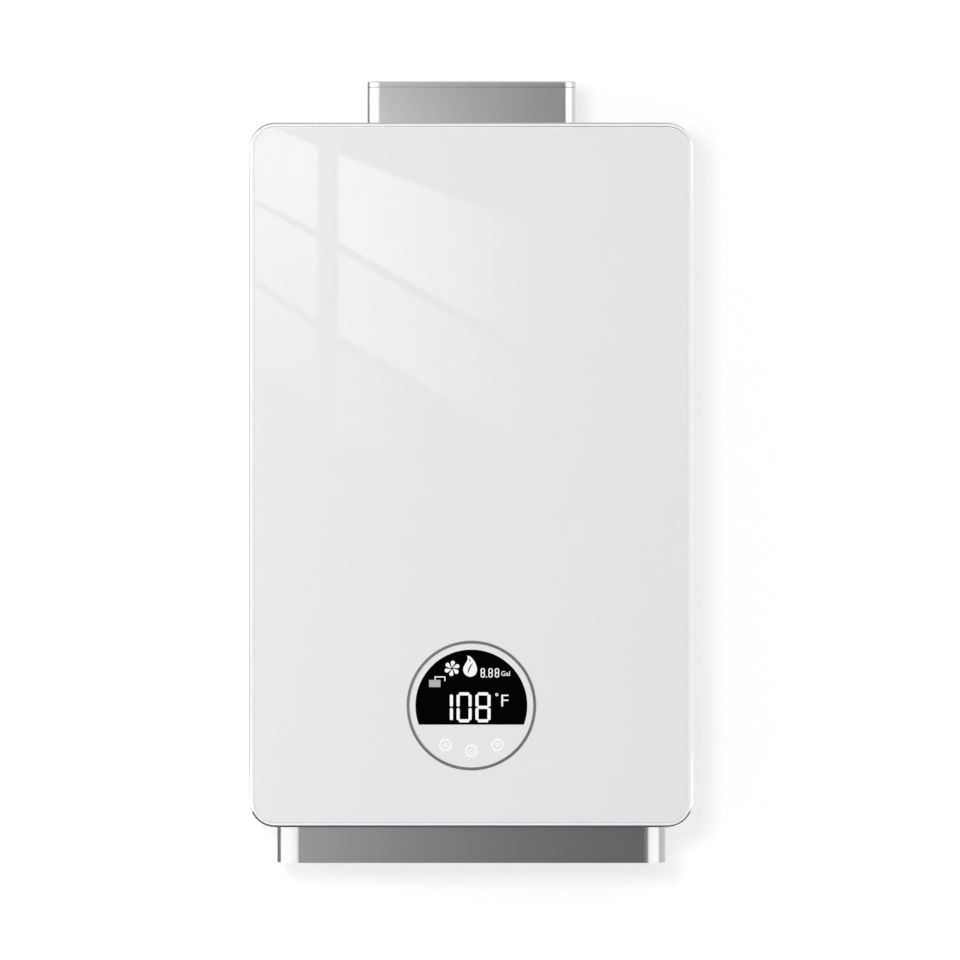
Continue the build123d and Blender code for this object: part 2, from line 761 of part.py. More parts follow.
def display():
    """Round control module: ring, light key plate, dark window, cup, board and key springs."""
    inner = MODULE_R - RING_W
    ring = pin_out(MODULE_R, 0, (LENS_BACK, GLASS_FRONT + RING_PROUD), MODULE_AT)
    ring = fillet(front_edges(ring), RING_ROUND)
    ring -= hole_through(inner, 0, (LENS_BACK, PANEL_FRONT), MODULE_AT)
    save("display_ring", ring)
    plate = pin_out(inner - CLOSE_FIT, 0, (LENS_BACK, GLASS_FRONT), MODULE_AT)
    save("key_plate", plate - window_shape(SNUG))
    save("display_window", window_shape(0))

    cup = pin_out(CUP_R, 0, (CUP_BACK, TRAY_FRONT), MODULE_AT)
    cup += pin_out(MODULE_R - CLOSE_FIT, 0, (TRAY_FRONT, LENS_BACK), MODULE_AT)
    cup_floor = CUP_BACK + CUP_WALL
    cup -= pin_out(CUP_R - CUP_WALL, 0, (cup_floor, LENS_BACK + OVER), MODULE_AT)
    save("display_cup", cup)

    board_front = LENS_BACK - LCD_T
    board_back = board_front - BOARD_T
    board = pin_out(CUP_R - CUP_WALL - PASS_FIT, 0, (board_back, board_front), MODULE_AT)
    screen = pin_out(CUP_R - CUP_WALL - LCD_EDGE, 0, (board_front, LENS_BACK), MODULE_AT)
    screen -= block(
        (-CUP_R, CUP_R),
        (board_front - OVER, LENS_BACK + OVER),
        (MODULE_AT - CUP_R, MODULE_AT - WINDOW_CHORD + LCD_OVERLAP),
    )
    posts = []
    for x in (-BOARD_POST_OUT, BOARD_POST_OUT):
        posts.append(pin_out(BOARD_POST_R, x, (cup_floor, board_back), MODULE_AT + BOARD_POST_OUT))
    save("display_board", board, screen, *posts)

    springs = []
    for x, drop in ((-KEY_X, KEY_DROP), (0, MIDDLE_KEY_DROP), (KEY_X, KEY_DROP)):
        ends = (spot(x, board_front, MODULE_AT - drop), spot(x, LENS_BACK, MODULE_AT - drop))
        springs.append(tube(KEY_SPRING_R, KEY_SPRING_R - KEY_SPRING_WALL, *ends))
    save("touch_springs", *springs)


# ---------------------------------------------------------------- flue
def hood():
    """Silver hood on the cabinet's top, with its lid and base flange."""
    outline = RectangleRounded(HOOD_W, HOOD_D, HOOD_R)
    inside = RectangleRounded(HOOD_W - 2 * SHEET, HOOD_D - 2 * SHEET, HOOD_R - SHEET)
    foot = RectangleRounded(HOOD_W + 2 * HOOD_FLANGE, BODY_D - 2 * HOOD_EDGE_GAP, HOOD_R)
    lid_level = HOOD_TOP - LID_H
    wall = standing(outline, 0, MID, (BODY_TOP, lid_level))
    wall = chamfer(top_edges(wall), SEAM)
    wall += standing(foot, 0, MID, (BODY_TOP, BODY_TOP + SHEET))
    wall -= standing(inside, 0, MID, (BODY_TOP - OVER, lid_level + OVER))
    for x, depth in hood_screw_places():
        wall -= hole_down(SCREW_R + PASS_FIT, x, depth, (BODY_TOP, BODY_TOP + SHEET))
    save("flue_hood", wall)

    lid = standing(outline, 0, MID, (lid_level, HOOD_TOP))
    lid = fillet(top_edges(lid), LID_ROUND)
    lid = chamfer(bottom_edges(lid), SEAM)
    lid -= standing(inside, 0, MID, (lid_level - OVER, HOOD_TOP - SHEET))
    lid -= hole_down(COLLAR_R + PASS_FIT, 0, MID, (lid_level, HOOD_TOP))
    save("hood_lid", lid)


def collar_ring(inner, level):
    """A ring inside the vent collar, let into half of its wall."""
    ends = (spot(0, MID, level[0]), spot(0, MID, level[1]))
    return tube(FLUE_BORE_R + COLLAR_WALL / 2, inner, *ends)


def collar():
    """Vent collar from the blower to the hood's top, with a pipe stop, a ledge and the damper rod."""
    body = post(COLLAR_R, 0, MID, (BLOWER_TOP, HOOD_TOP))
    body += post(COLLAR_R + COLLAR_FLANGE, 0, MID, (BLOWER_TOP, BLOWER_TOP + COLLAR_FLANGE_T))
    body -= hole_down(FLUE_BORE_R, 0, MID, (BLOWER_TOP, HOOD_TOP))
    body += collar_ring(FLUE_BORE_R - STOP_RING_W, (STOP_TOP - STOP_RING_T, STOP_TOP))
    ledge_top = DAMPER_LEVEL - PETAL_T / 2 - RUNNING
    body += collar_ring(LEDGE_R, (ledge_top - LEDGE_T, ledge_top))
    reach = COLLAR_R + OVER
    ends = (spot(-reach, MID, DAMPER_LEVEL), spot(reach, MID, DAMPER_LEVEL))
    body -= rod(DAMPER_ROD_R + DAMPER_ROD_FIT, *ends)
    save("flue_collar", body)

    reach = COLLAR_R - CLOSE_FIT
    ends = (spot(-reach, MID, DAMPER_LEVEL), spot(reach, MID, DAMPER_LEVEL))
    save("damper_rod", rod(DAMPER_ROD_R, *ends))


def petal(name, way, knuckles):
    """One half-moon petal; way is 1 for the front and -1 for the rear, with its own knuckles."""
    level = (DAMPER_LEVEL - PETAL_T / 2, DAMPER_LEVEL + PETAL_T / 2)
    plate = post(PETAL_R, 0, MID, level)
    away = sorted((MID + way * PETAL_START, MID - way * (PETAL_R + OVER)))
    wide = (-PETAL_R - OVER, PETAL_R + OVER)
    plate -= block(wide, away, (level[0] - OVER, level[1] + OVER))
    root = sorted((MID, MID + way * (PETAL_START + OVER)))
    for i in knuckles:
        start = i * (KNUCKLE_L + KNUCKLE_GAP) + KNUCKLE_GAP / 2
        end = start + KNUCKLE_L
        plate += block((start, end), root, level)
        plate += rod(KNUCKLE_R, spot(start, MID, DAMPER_LEVEL), spot(end, MID, DAMPER_LEVEL))
    ends = (spot(-PETAL_R, MID, DAMPER_LEVEL), spot(PETAL_R, MID, DAMPER_LEVEL))
    save(name, plate - rod(DAMPER_ROD_R + RUNNING, *ends))


# ---------------------------------------------------------------- fittings and water side
def pipe_fitting(name, x):
    """Male pipe fitting through the floor, threaded size below and a spigot above."""
    flange_top = FLOOR_TOP + FITTING_FLANGE_T
    body = post(THREAD_R, x, MID, (STUB_END, STUB_TOP))
    body = chamfer(bottom_edges(body), THREAD_CHAMFER)
    body += post(NECK_R, x, MID, (STUB_TOP, FLOOR_TOP))
    body += post(FITTING_FLANGE_R, x, MID, (FLOOR_TOP, flange_top))
    body += post(SPIGOT_R, x, MID, (flange_top, FITTING_TOP))
    body -= post(THREAD_BORE_R, x, MID, (STUB_END - OVER, FLOOR_TOP))
    body -= hole_down(PIPE_BORE_R, x, MID, (FLOOR_TOP, FITTING_TOP))
    save(name, body)


def inlet_filter():
    """Strainer cup in the cold inlet's bore."""
    radius = THREAD_BORE_R - CLOSE_FIT
    bottom = FLOOR_TOP - FILTER_H
    cup = post(radius, FITTING_X, MID, (bottom, FLOOR_TOP))
    inside = (bottom + FILTER_WALL, FLOOR_TOP + OVER)
    cup -= post(radius - FILTER_WALL, FITTING_X, MID, inside)
    reach = 2 * (radius + OVER)
    for i in range(FILTER_SLOTS):
        level = bottom + FILTER_SLOT_START + i * FILTER_SLOT_PITCH
        place = Pos(spot(FITTING_X, MID, level))
        cup -= place * Box(reach, FILTER_SLOT_W, FILTER_SLOT_H)
        cup -= place * Box(FILTER_SLOT_W, reach, FILTER_SLOT_H)
    save("inlet_filter", cup)


def fittings():
    """Hot outlet, gas inlet and cold inlet with their lock nuts, and the cold inlet's filter."""
    pipe_fitting("hot_outlet_fitting", -FITTING_X)
    pipe_fitting("gas_inlet_fitting", 0)
    pipe_fitting("cold_inlet_fitting", FITTING_X)
    nuts = []
    for x in (-FITTING_X, 0, FITTING_X):
        nuts.append(hex_nut(NUT_ACROSS, NECK_R + CLOSE_FIT, x, (STUB_TOP, BAY_H)))
    save("fitting_nuts", *nuts)
    inlet_filter()


def water_block():
    """Inlet block on the cold fitting, with a side arm to the drain cock."""
    half = WATER_BLOCK / 2
    level = (FITTING_TOP, WATER_TOP)
    body = block((FITTING_X - half, FITTING_X + half), (MID - half, MID + half), level)
    body = fillet(body.edges().filter_by(Axis.Z), WATER_BLOCK_R)
    port = FLOOR_TOP + DRAIN_PORT_LEVEL
    arm_end = DRAIN_X - DRAIN_R + DRAIN_PORT_SEAT
    body += rod(DRAIN_PORT_R, spot(FITTING_X + half - OVER, MID, port), spot(arm_end, MID, port))
    body -= post(DRAIN_R + SNUG, DRAIN_X, MID, (FLOOR_TOP, FLOOR_TOP + DRAIN_TOP))
    body -= hole_down(PIPE_BORE_R, FITTING_X, MID, level)
    save("water_valve_body", body)


def drain_cock():
    """Drain cock through the floor, with its quarter-turn bar handle."""
    bottom = BAY_H - DRAIN_NOSE
    stem_top = FLOOR_TOP + DRAIN_STEM_RISE
    cock = post(DRAIN_R, DRAIN_X, MID, (bottom, FLOOR_TOP + DRAIN_TOP))
    cock -= post(DRAIN_STEM_R + RUNNING, DRAIN_X, MID, (bottom - OVER, stem_top))
    save("drain_body", cock)

    bar_top = bottom - END_PLAY - DRAIN_BAR_DROP
    bar_bottom = bar_top - DRAIN_BAR_T
    stem = post(DRAIN_STEM_R, DRAIN_X, MID, (bar_bottom, stem_top - END_PLAY))
    along = DRAIN_BAR_L / 2
    thick = DRAIN_BAR_W / 2
    bar = block((DRAIN_X - along, DRAIN_X + along), (MID - thick, MID + thick), (bar_bottom, bar_top))
    save("drain_handle", stem + fillet(bar.edges().filter_by(Axis.Z), DRAIN_BAR_R))


def spider(level):
    """A cross of two bars with a bearing hole, across the flow sensor's bore."""
    reach = 2 * (PIPE_BORE_R + SPIDER_ROOT)
    height = level[1] - level[0]
    place = Pos(spot(FITTING_X, MID, sum(level) / 2))
    cross = place * Box(reach, SPIDER_W, height) + place * Box(SPIDER_W, reach, height)
    cross += post(SPIDER_BOSS_R, FITTING_X, MID, level)
    return cross - hole_down(ROTOR_SHAFT_R + RUNNING, FITTING_X, MID, level)


def flow_sensor():
    """Flow sensor on the water block: body with a plug socket, cap, and the turbine between them."""
    floor = (WATER_TOP, WATER_TOP + SENSOR_END)
    case = post(SENSOR_R, FITTING_X, MID, (WATER_TOP, SENSOR_TOP))
    case += block(
        (FITTING_X, FITTING_X + SENSOR_R + SENSOR_PLUG_OUT),
        (MID - SENSOR_PLUG_W / 2, MID + SENSOR_PLUG_W / 2),
        (WATER_TOP + SENSOR_PLUG_END, SENSOR_TOP - SENSOR_PLUG_END),
    )
    case -= post(SENSOR_BORE_R, FITTING_X, MID, (floor[1], SENSOR_TOP + OVER))
    case -= hole_down(PIPE_BORE_R, FITTING_X, MID, floor)
    save("flow_sensor_body", case + spider(floor))

    cap = post(SENSOR_R, FITTING_X, MID, (SENSOR_TOP, SENSOR_CAP_TOP))
    cap -= hole_down(PIPE_BORE_R, FITTING_X, MID, (SENSOR_TOP, SENSOR_CAP_TOP))
    save("flow_sensor_cap", cap + spider((SENSOR_TOP, SENSOR_TOP + SENSOR_END)))

    hub = (floor[1] + END_PLAY, SENSOR_TOP - END_PLAY)
    shaft = (WATER_TOP + END_PLAY, SENSOR_TOP + SENSOR_END - END_PLAY)
    rotor = post(ROTOR_HUB_R, FITTING_X, MID, hub)
    rotor += post(ROTOR_SHAFT_R, FITTING_X, MID, shaft)
    centre = Pos(spot(FITTING_X, MID, sum(hub) / 2))
    length = ROTOR_TIP_R - ROTOR_HUB_R + ROTOR_ROOT
    vane = Rot(ROTOR_TWIST, 0, 0) * Box(length, ROTOR_BLADE_T, ROTOR_BLADE_H)
    vane = Pos(ROTOR_TIP_R - length / 2, 0, 0) * vane
    for i in range(ROTOR_BLADES):
        rotor += centre * Rot(0, 0, i * 360 / ROTOR_BLADES) * vane
    save("flow_rotor", rotor & post(ROTOR_TIP_R, FITTING_X, MID, shaft))


def cord_gland():
    """Cable gland in the floor for the supply cord, with its lock nut above."""
    hex_level = (BAY_H - GLAND_HEX_T, BAY_H)
    dome_level = (hex_level[0] - GLAND_DOME_L, hex_level[0])
    tail = (BAY_H, FLOOR_TOP + GLAND_TAIL)
    dome = post(GLAND_DOME_R, GLAND_X, MID, dome_level)
    body = fillet(bottom_edges(dome), GLAND_DOME_ROUND)
    body += hex_nut(GLAND_ACROSS, GLAND_BORE_R, GLAND_X, hex_level)
    body += post(GLAND_R, GLAND_X, MID, tail)
    body -= hole_down(GLAND_BORE_R, GLAND_X, MID, (dome_level[0], tail[1]))
    nut_level = (FLOOR_TOP, FLOOR_TOP + GLAND_NUT_T)
    save("cord_gland", body, hex_nut(GLAND_ACROSS, GLAND_R + CLOSE_FIT, GLAND_X, nut_level))


def water_pipes():
    """Cold pipe wound round the chamber to the exchanger, and hot pipe down to its outlet."""
    side = CHAMBER_HALF + PIPE_SEAT + PIPE_R
    front = CHAMBER_FRONT + PIPE_SEAT + PIPE_R
    rear = CHAMBER_BACK - PIPE_SEAT - PIPE_R
    first = BURNER_TOP + WRAP_LEVEL
    second = first + WRAP_STEP
    near = tube_depths()[0]
    crossing = SENSOR_CAP_TOP + 2 * PIPE_BEND
    route = [
        spot(FITTING_X, MID, SENSOR_CAP_TOP),
        spot(FITTING_X, MID, crossing),
        spot(side, MID, crossing),
        spot(side, MID, first),
        spot(side, front, first),
        spot(-side, front, first),
        spot(-side, rear, first),
        spot(side, rear, second),
        spot(side, front, second),
        spot(-COLD_RISE_X, front, second),
        spot(-COLD_RISE_X, near, second),
        spot(-COLD_RISE_X, near, TUBE_LEVEL),
        spot(-TUBE_END, near, TUBE_LEVEL),
    ]
    save("cold_pipe", bent_tube(route, PIPE_BEND, PIPE_R, PIPE_BORE_R))

    far = tube_depths()[-1]
    low = FITTING_TOP + HOT_PIPE_RISE
    route = [
        spot(-TUBE_END, far, TUBE_LEVEL),
        spot(-HOT_PIPE_X, far, TUBE_LEVEL),
        spot(-HOT_PIPE_X, far, low),
        spot(-HOT_PIPE_X, MID, low),
        spot(-FITTING_X, MID, low),
        spot(-FITTING_X, MID, FITTING_TOP),
    ]
    save("hot_pipe", bent_tube(route, PIPE_BEND, PIPE_R, PIPE_BORE_R))


# ---------------------------------------------------------------- gas side and burner
def gas_valve():
    """Valve block with a shut-off and a modulating solenoid, and the riser from its front."""
    half = VALVE_D / 2
    front = MID + half
    port = FITTING_TOP + VALVE_PORT
    body = block((-VALVE_W / 2, VALVE_W / 2), (MID - half, front), (FITTING_TOP, VALVE_TOP))
    body = fillet(body.edges().filter_by(Axis.Z), VALVE_R)
    body -= post(PIPE_BORE_R, 0, MID, (FITTING_TOP - OVER, FITTING_TOP + VALVE_WELL))
    body -= pin_out(RISER_R - RISER_WALL, 0, (MID, front + OVER), port)
    save("gas_valve_body", body)

    coils = []
    for x in (-COIL_X, COIL_X):
        coil = fillet(top_edges(post(COIL_R, x, MID, (VALVE_TOP, COIL_TOP))), COIL_ROUND)
        well = (VALVE_TOP - OVER, COIL_TOP - COIL_CAP)
        coils.append(coil - post(PLUNGER_R + RUNNING, x, MID, well))
    save("solenoid_coils", *coils)

    route = [spot(0, front, port), spot(0, MANIFOLD_MID, port), spot(0, MANIFOLD_MID, MANIFOLD_LEVEL)]
    save("gas_riser", bent_tube(route, RISER_BEND, RISER_R, RISER_R - RISER_WALL))


def solenoid_core(use, x):
    """A solenoid's plunger with the return spring above it."""
    bottom = VALVE_TOP + END_PLAY
    save(f"{use}_plunger", post(PLUNGER_R, x, MID, (bottom, bottom + PLUNGER_L)))
    start = bottom + PLUNGER_L + SPRING_WIRE_R
    height = COIL_TOP - COIL_CAP - SPRING_WIRE_R - start
    line = Pos(spot(x, MID, start)) * Helix(height / SPRING_TURNS, height, SPRING_R)
    wire = Plane(origin=line @ 0, z_dir=line % 0) * Circle(SPRING_WIRE_R)
    save(f"{use}_spring", sweep(wire, path=line, is_frenet=True))


def burner_box():
    """Tray that holds the burner blades, with a window for the injectors and air slots below."""
    level = (BURNER_BOTTOM, BURNER_TOP)
    box = block((-CHAMBER_HALF, CHAMBER_HALF), (CHAMBER_BACK, CHAMBER_FRONT), level)
    box -= block(
        (-CHAMBER_HALF + SHELL_T, CHAMBER_HALF - SHELL_T),
        (CHAMBER_BACK + SHELL_T, CHAMBER_FRONT - SHELL_T),
        (BURNER_BOTTOM + SHELL_T, BURNER_TOP + OVER),
    )
    reach = blade_places()[-1] + BLADE_T / 2
    window = (MANIFOLD_LEVEL + MANIFOLD_WINDOW_EDGE, MANIFOLD_LEVEL + MANIFOLD_H - MANIFOLD_WINDOW_EDGE)
    box -= block((-reach, reach), (CHAMBER_FRONT - SHELL_T - OVER, CHAMBER_FRONT + OVER), window)
    depth = (CHAMBER_BACK + AIR_SLOT_INSET, CHAMBER_FRONT - AIR_SLOT_INSET)
    for x in blade_places()[:-1]:
        gap = x + BLADE_PITCH / 2
        across = (gap - AIR_SLOT_W / 2, gap + AIR_SLOT_W / 2)
        box -= block(across, depth, (BURNER_BOTTOM - OVER, BURNER_BOTTOM + SHELL_T + OVER))
    save("burner_box", box)


def burner_blade(x):
    """One hollow burner blade with flame ports on top and a round mouth at the front."""
    bottom = BURNER_BOTTOM + SHELL_T
    top = bottom + BLADE_H
    depth = (CHAMBER_BACK + SHELL_T + BLADE_END_GAP, CHAMBER_FRONT - SHELL_T - BLADE_END_GAP)
    half = BLADE_T / 2
    blade = block((x - half, x + half), depth, (bottom, top))
    blade = chamfer(top_edges(blade).filter_by(Axis.Y), BLADE_EASE)
    blade -= block(
        (x - half + BLADE_WALL, x + half - BLADE_WALL),
        (depth[0] + BLADE_WALL, depth[1] - BLADE_WALL),
        (bottom + BLADE_WALL, top - BLADE_EASE - BLADE_WALL),
    )
    step = (depth[1] - depth[0]) / PORT_COUNT
    for i in range(PORT_COUNT):
        middle = depth[0] + (i + 0.5) * step
        across = (x - PORT_W / 2, x + PORT_W / 2)
        along = (middle - PORT_L / 2, middle + PORT_L / 2)
        blade -= block(across, along, (top - PORT_DEPTH, top + OVER))
    mouth = (depth[1] - BLADE_MOUTH_L, depth[1] + OVER)
    return blade - pin_out(BLADE_MOUTH_R, x, mouth, MANIFOLD_LEVEL + MANIFOLD_H / 2)


def gas_manifold():
    """Hollow gas bar across the burner's front, on two feet, with an injector for each blade."""
    half = blade_places()[-1] + MANIFOLD_PAST
    level = (MANIFOLD_LEVEL, MANIFOLD_LEVEL + MANIFOLD_H)
    wall = MANIFOLD_WALL
    bar = block((-half, half), (MANIFOLD_BACK, MANIFOLD_BACK + MANIFOLD_D), level)
    bar -= block(
        (-half + wall, half - wall),
        (MANIFOLD_BACK + wall, MANIFOLD_BACK + MANIFOLD_D - wall),
        (level[0] + wall, level[1] - wall),
    )
    bar -= hole_down(MANIFOLD_INLET_R, 0, MANIFOLD_MID, (level[0], level[0] + wall))
    for side in (-1, 1):
        across = sorted((side * (half - MANIFOLD_FOOT), side * half))
        bar += block(across, (CHAMBER_FRONT, MANIFOLD_BACK), level)
    middle = sum(level) / 2
    tip = CHAMBER_FRONT - SHELL_T - INJECTOR_TIP_GAP
    injectors = []
    for x in blade_places():
        bar -= hole_through(INJECTOR_BORE_R, x, (MANIFOLD_BACK, MANIFOLD_BACK + wall), middle)
        nozzle = pin_out(INJECTOR_R, x, (tip, MANIFOLD_BACK), middle)
        injectors.append(nozzle - hole_through(INJECTOR_BORE_R, x, (tip, MANIFOLD_BACK), middle))
    save("gas_manifold", bar)
    save("injectors", *injectors)


# ---------------------------------------------------------------- chamber, exchanger and blower
def chamber_shell():
    """Combustion chamber shell with holes for the tubes and the two electrodes."""
    outline = RectangleRounded(CHAMBER_W, CHAMBER_D, SHELL_R)
    inside = RectangleRounded(CHAMBER_W - 2 * SHELL_T, CHAMBER_D - 2 * SHELL_T, SHELL_R - SHELL_T)
    shell = standing(outline, 0, MID, (BURNER_TOP, STACK_TOP))
    shell -= standing(inside, 0, MID, (BURNER_TOP - OVER, STACK_TOP + OVER))
    reach = CHAMBER_HALF + OVER
    for depth in tube_depths():
        ends = (spot(-reach, depth, TUBE_LEVEL), spot(reach, depth, TUBE_LEVEL))
        shell -= rod(PIPE_R + SNUG, *ends)
    for x in (-ELECTRODE_X, ELECTRODE_X):
        wall = (CHAMBER_FRONT - SHELL_T, CHAMBER_FRONT)
        shell -= hole_through(ELECTRODE_R + CLOSE_FIT, x, wall, ELECTRODE_LEVEL)
    save("chamber_shell", shell)


def exchanger():
    """Brazed fin and tube pack, with the return bends that join its tubes."""
    half = CHAMBER_D / 2 - SHELL_T - FIN_GAP
    level = (TUBE_LEVEL - FIN_H / 2, TUBE_LEVEL + FIN_H / 2)
    pack = Part()
    for x in row_in(CHAMBER_W - 2 * SHELL_T - 2 * FIN_MARGIN, FIN_PITCH):
        pack += block((x - FIN_T / 2, x + FIN_T / 2), (MID - half, MID + half), level)
    for depth in tube_depths():
        pack += rod(PIPE_R, spot(-TUBE_END, depth, TUBE_LEVEL), spot(TUBE_END, depth, TUBE_LEVEL))
    reach = TUBE_END + OVER
    for depth in tube_depths():
        pack -= rod(PIPE_BORE_R, spot(-reach, depth, TUBE_LEVEL), spot(reach, depth, TUBE_LEVEL))
    save("fin_pack", pack)

    bends = []
    for i, depth in enumerate(tube_depths()[:-1]):
        side = 1 if i % 2 == 0 else -1
        turn = ThreePointArc(
            spot(side * TUBE_END, depth, TUBE_LEVEL),
            spot(side * (TUBE_END + TUBE_PITCH / 2), depth + TUBE_PITCH / 2, TUBE_LEVEL),
            spot(side * TUBE_END, depth + TUBE_PITCH, TUBE_LEVEL),
        )
        plane = Plane(origin=turn @ 0, z_dir=turn % 0)
        outer = sweep(plane * Circle(PIPE_R), path=turn)
        bends.append(outer - sweep(plane * Circle(PIPE_BORE_R), path=turn))
    save("return_bends", *bends)


def stack_brackets():
    """Four U-shaped brackets that carry the burner and the exchanger on the back plate."""
    brackets = []
    for level in (BURNER_BOTTOM + BRACKET_LEVEL, TUBE_LEVEL - BRACKET_H):
        for x in (-BRACKET_X, BRACKET_X):
            across = (x - BRACKET_W / 2, x + BRACKET_W / 2)
            bracket = block(across, (BACK_T, CHAMBER_BACK), (level, level + BRACKET_H))
            bracket -= block(
                (across[0] - OVER, across[1] + OVER),
                (BACK_T + BRACKET_T, CHAMBER_BACK - BRACKET_T),
                (level + BRACKET_T, level + BRACKET_H + OVER),
            )
            brackets.append(bracket)
    save("stack_brackets", *brackets)


def smoke_collector():
    """Smoke collector over the exchanger, with a duct up behind the fan to its inlet eye."""
    t = SHELL_T
    duct = (SCROLL_X - DUCT_W / 2, SCROLL_X + DUCT_W / 2)
    duct_top = FAN_LEVEL + DUCT_W / 2
    level = (STACK_TOP, COLLECTOR_TOP)
    shape = block((-CHAMBER_HALF, CHAMBER_HALF), (CHAMBER_BACK, CHAMBER_FRONT), level)
    shape += block(duct, (DUCT_START, SCROLL_START), (STACK_TOP, duct_top))
    hollow = block(
        (-CHAMBER_HALF + t, CHAMBER_HALF - t),
        (CHAMBER_BACK + t, CHAMBER_FRONT - t),
        (STACK_TOP - OVER, COLLECTOR_TOP - t),
    )
    hollow += block(
        (duct[0] + t, duct[1] - t), (DUCT_START + t, SCROLL_START - t), (STACK_TOP + t, duct_top - t)
    )
    shape -= hollow
    shape -= hole_through(EYE_R, SCROLL_X, (SCROLL_START - t, SCROLL_START), FAN_LEVEL)
    save("smoke_collector", shape)


def scroll_shape(inset, depth, top):
    """The blower's outline seen from the front: a round scroll with a straight outlet upwards."""
    round_part = pin_out(SCROLL_R - inset, SCROLL_X, depth, FAN_LEVEL)
    return round_part + block((SCROLL_X + inset, SCROLL_WALL - inset), depth, (FAN_LEVEL, top))


def blower_housing():
    """Blower housing with its outlet plate, inlet eye, shaft hole and pressure tap."""
    t = SHELL_T
    half = OUTLET_PLATE / 2
    housing = scroll_shape(0, (SCROLL_START, SCROLL_END), BLOWER_TOP)
    housing += block((-half, half), (MID - half, MID + half), (BLOWER_TOP - t, BLOWER_TOP))
    housing -= scroll_shape(t, (SCROLL_START + t, SCROLL_END - t), BLOWER_TOP + OVER)
    housing -= hole_through(EYE_R, SCROLL_X, (SCROLL_START, SCROLL_START + t), FAN_LEVEL)
    housing -= hole_through(SHAFT_HOLE_R, SCROLL_X, (SCROLL_END - t, SCROLL_END), FAN_LEVEL)
    root = spot(SCROLL_WALL - t / 2, MID, TAP_LEVEL)
    housing += rod(HOSE_BORE_R - CLOSE_FIT, root, spot(SCROLL_WALL + TAP_L, MID, TAP_LEVEL))
    save("blower_housing", housing)


def fan():
    """Fan motor, its shaft, and the impeller with backward-leaning blades."""
    motor = pin_out(MOTOR_R, SCROLL_X, (SCROLL_END, SCROLL_END + MOTOR_L), FAN_LEVEL)
    motor = fillet(front_edges(motor), MOTOR_ROUND)
    shaft_end = SCROLL_END + MOTOR_L - MOTOR_CAP
    bore = (SCROLL_END - OVER, shaft_end + END_PLAY)
    save("fan_motor", motor - pin_out(SHAFT_R + SNUG, SCROLL_X, bore, FAN_LEVEL))

    near = SCROLL_START + IMPELLER_START
    far = SCROLL_END - IMPELLER_END
    save("fan_shaft", pin_out(SHAFT_R, SCROLL_X, (near, shaft_end), FAN_LEVEL))
    wheel = pin_out(IMPELLER_R, SCROLL_X, (far - IMPELLER_DISC_T, far), FAN_LEVEL)
    ring = (near, near + IMPELLER_DISC_T)
    wheel += pin_out(IMPELLER_R, SCROLL_X, ring, FAN_LEVEL)
    wheel -= hole_through(IMPELLER_R - IMPELLER_RING_W, SCROLL_X, ring, FAN_LEVEL)
    wheel += pin_out(HUB_R, SCROLL_X, (near + HUB_INSET, far), FAN_LEVEL)
    blade = Box(IMPELLER_BLADE_L, far - near - IMPELLER_DISC_T / 2, IMPELLER_BLADE_T)
    blade = Pos(IMPELLER_R - IMPELLER_BLADE_INSET, 0, 0) * Rot(0, IMPELLER_BLADE_TURN, 0) * blade
    centre = Pos(spot(SCROLL_X, (near + far) / 2, FAN_LEVEL))
    for i in range(IMPELLER_BLADES):
        wheel += centre * Rot(0, i * 360 / IMPELLER_BLADES, 0) * blade
    wheel -= hole_through(SHAFT_R + SHAFT_PRESS, SCROLL_X, (near, far), FAN_LEVEL)
    save("impeller", wheel)


# ---------------------------------------------------------------- controls
def controller():
    """Controller case with its lid, and the circuit board with its relays on four studs."""
    t = CONTROLLER_WALL
    half = CONTROLLER_W / 2
    front = BACK_T + CONTROLLER_D
    bottom = FLOOR_TOP + CONTROLLER_RISE
    top = bottom + CONTROLLER_H
    case = block((-half, half), (BACK_T, front - t), (bottom, top))
    case = fillet(case.edges().filter_by(Axis.Y), CONTROLLER_R)
    case -= block((-half + t, half - t), (BACK_T + t, front), (bottom + t, top - t))
    lid = block((-half, half), (front - t, front), (bottom, top))
    save("controller_case", case, fillet(lid.edges().filter_by(Axis.Y), CONTROLLER_R))

    back = BACK_T + t + BOARD_STANDOFF
    face = back + BOARD_T
    inset = BOARD_INSET
    pieces = [block((-half + inset, half - inset), (back, face), (bottom + inset, top - inset))]
    for x in centred(CHIP_COUNT, CHIP_PITCH):
        level = (bottom + CHIP_RISE, bottom + CHIP_RISE + CHIP_H)
        pieces.append(block((x - CHIP_W / 2, x + CHIP_W / 2), (face, face + CHIP_T), level))
        pieces.append(pin_out(BOARD_STUD_R, x, (BACK_T + t, back), top - BOARD_STUD_DROP))
    save("control_board", *pieces)


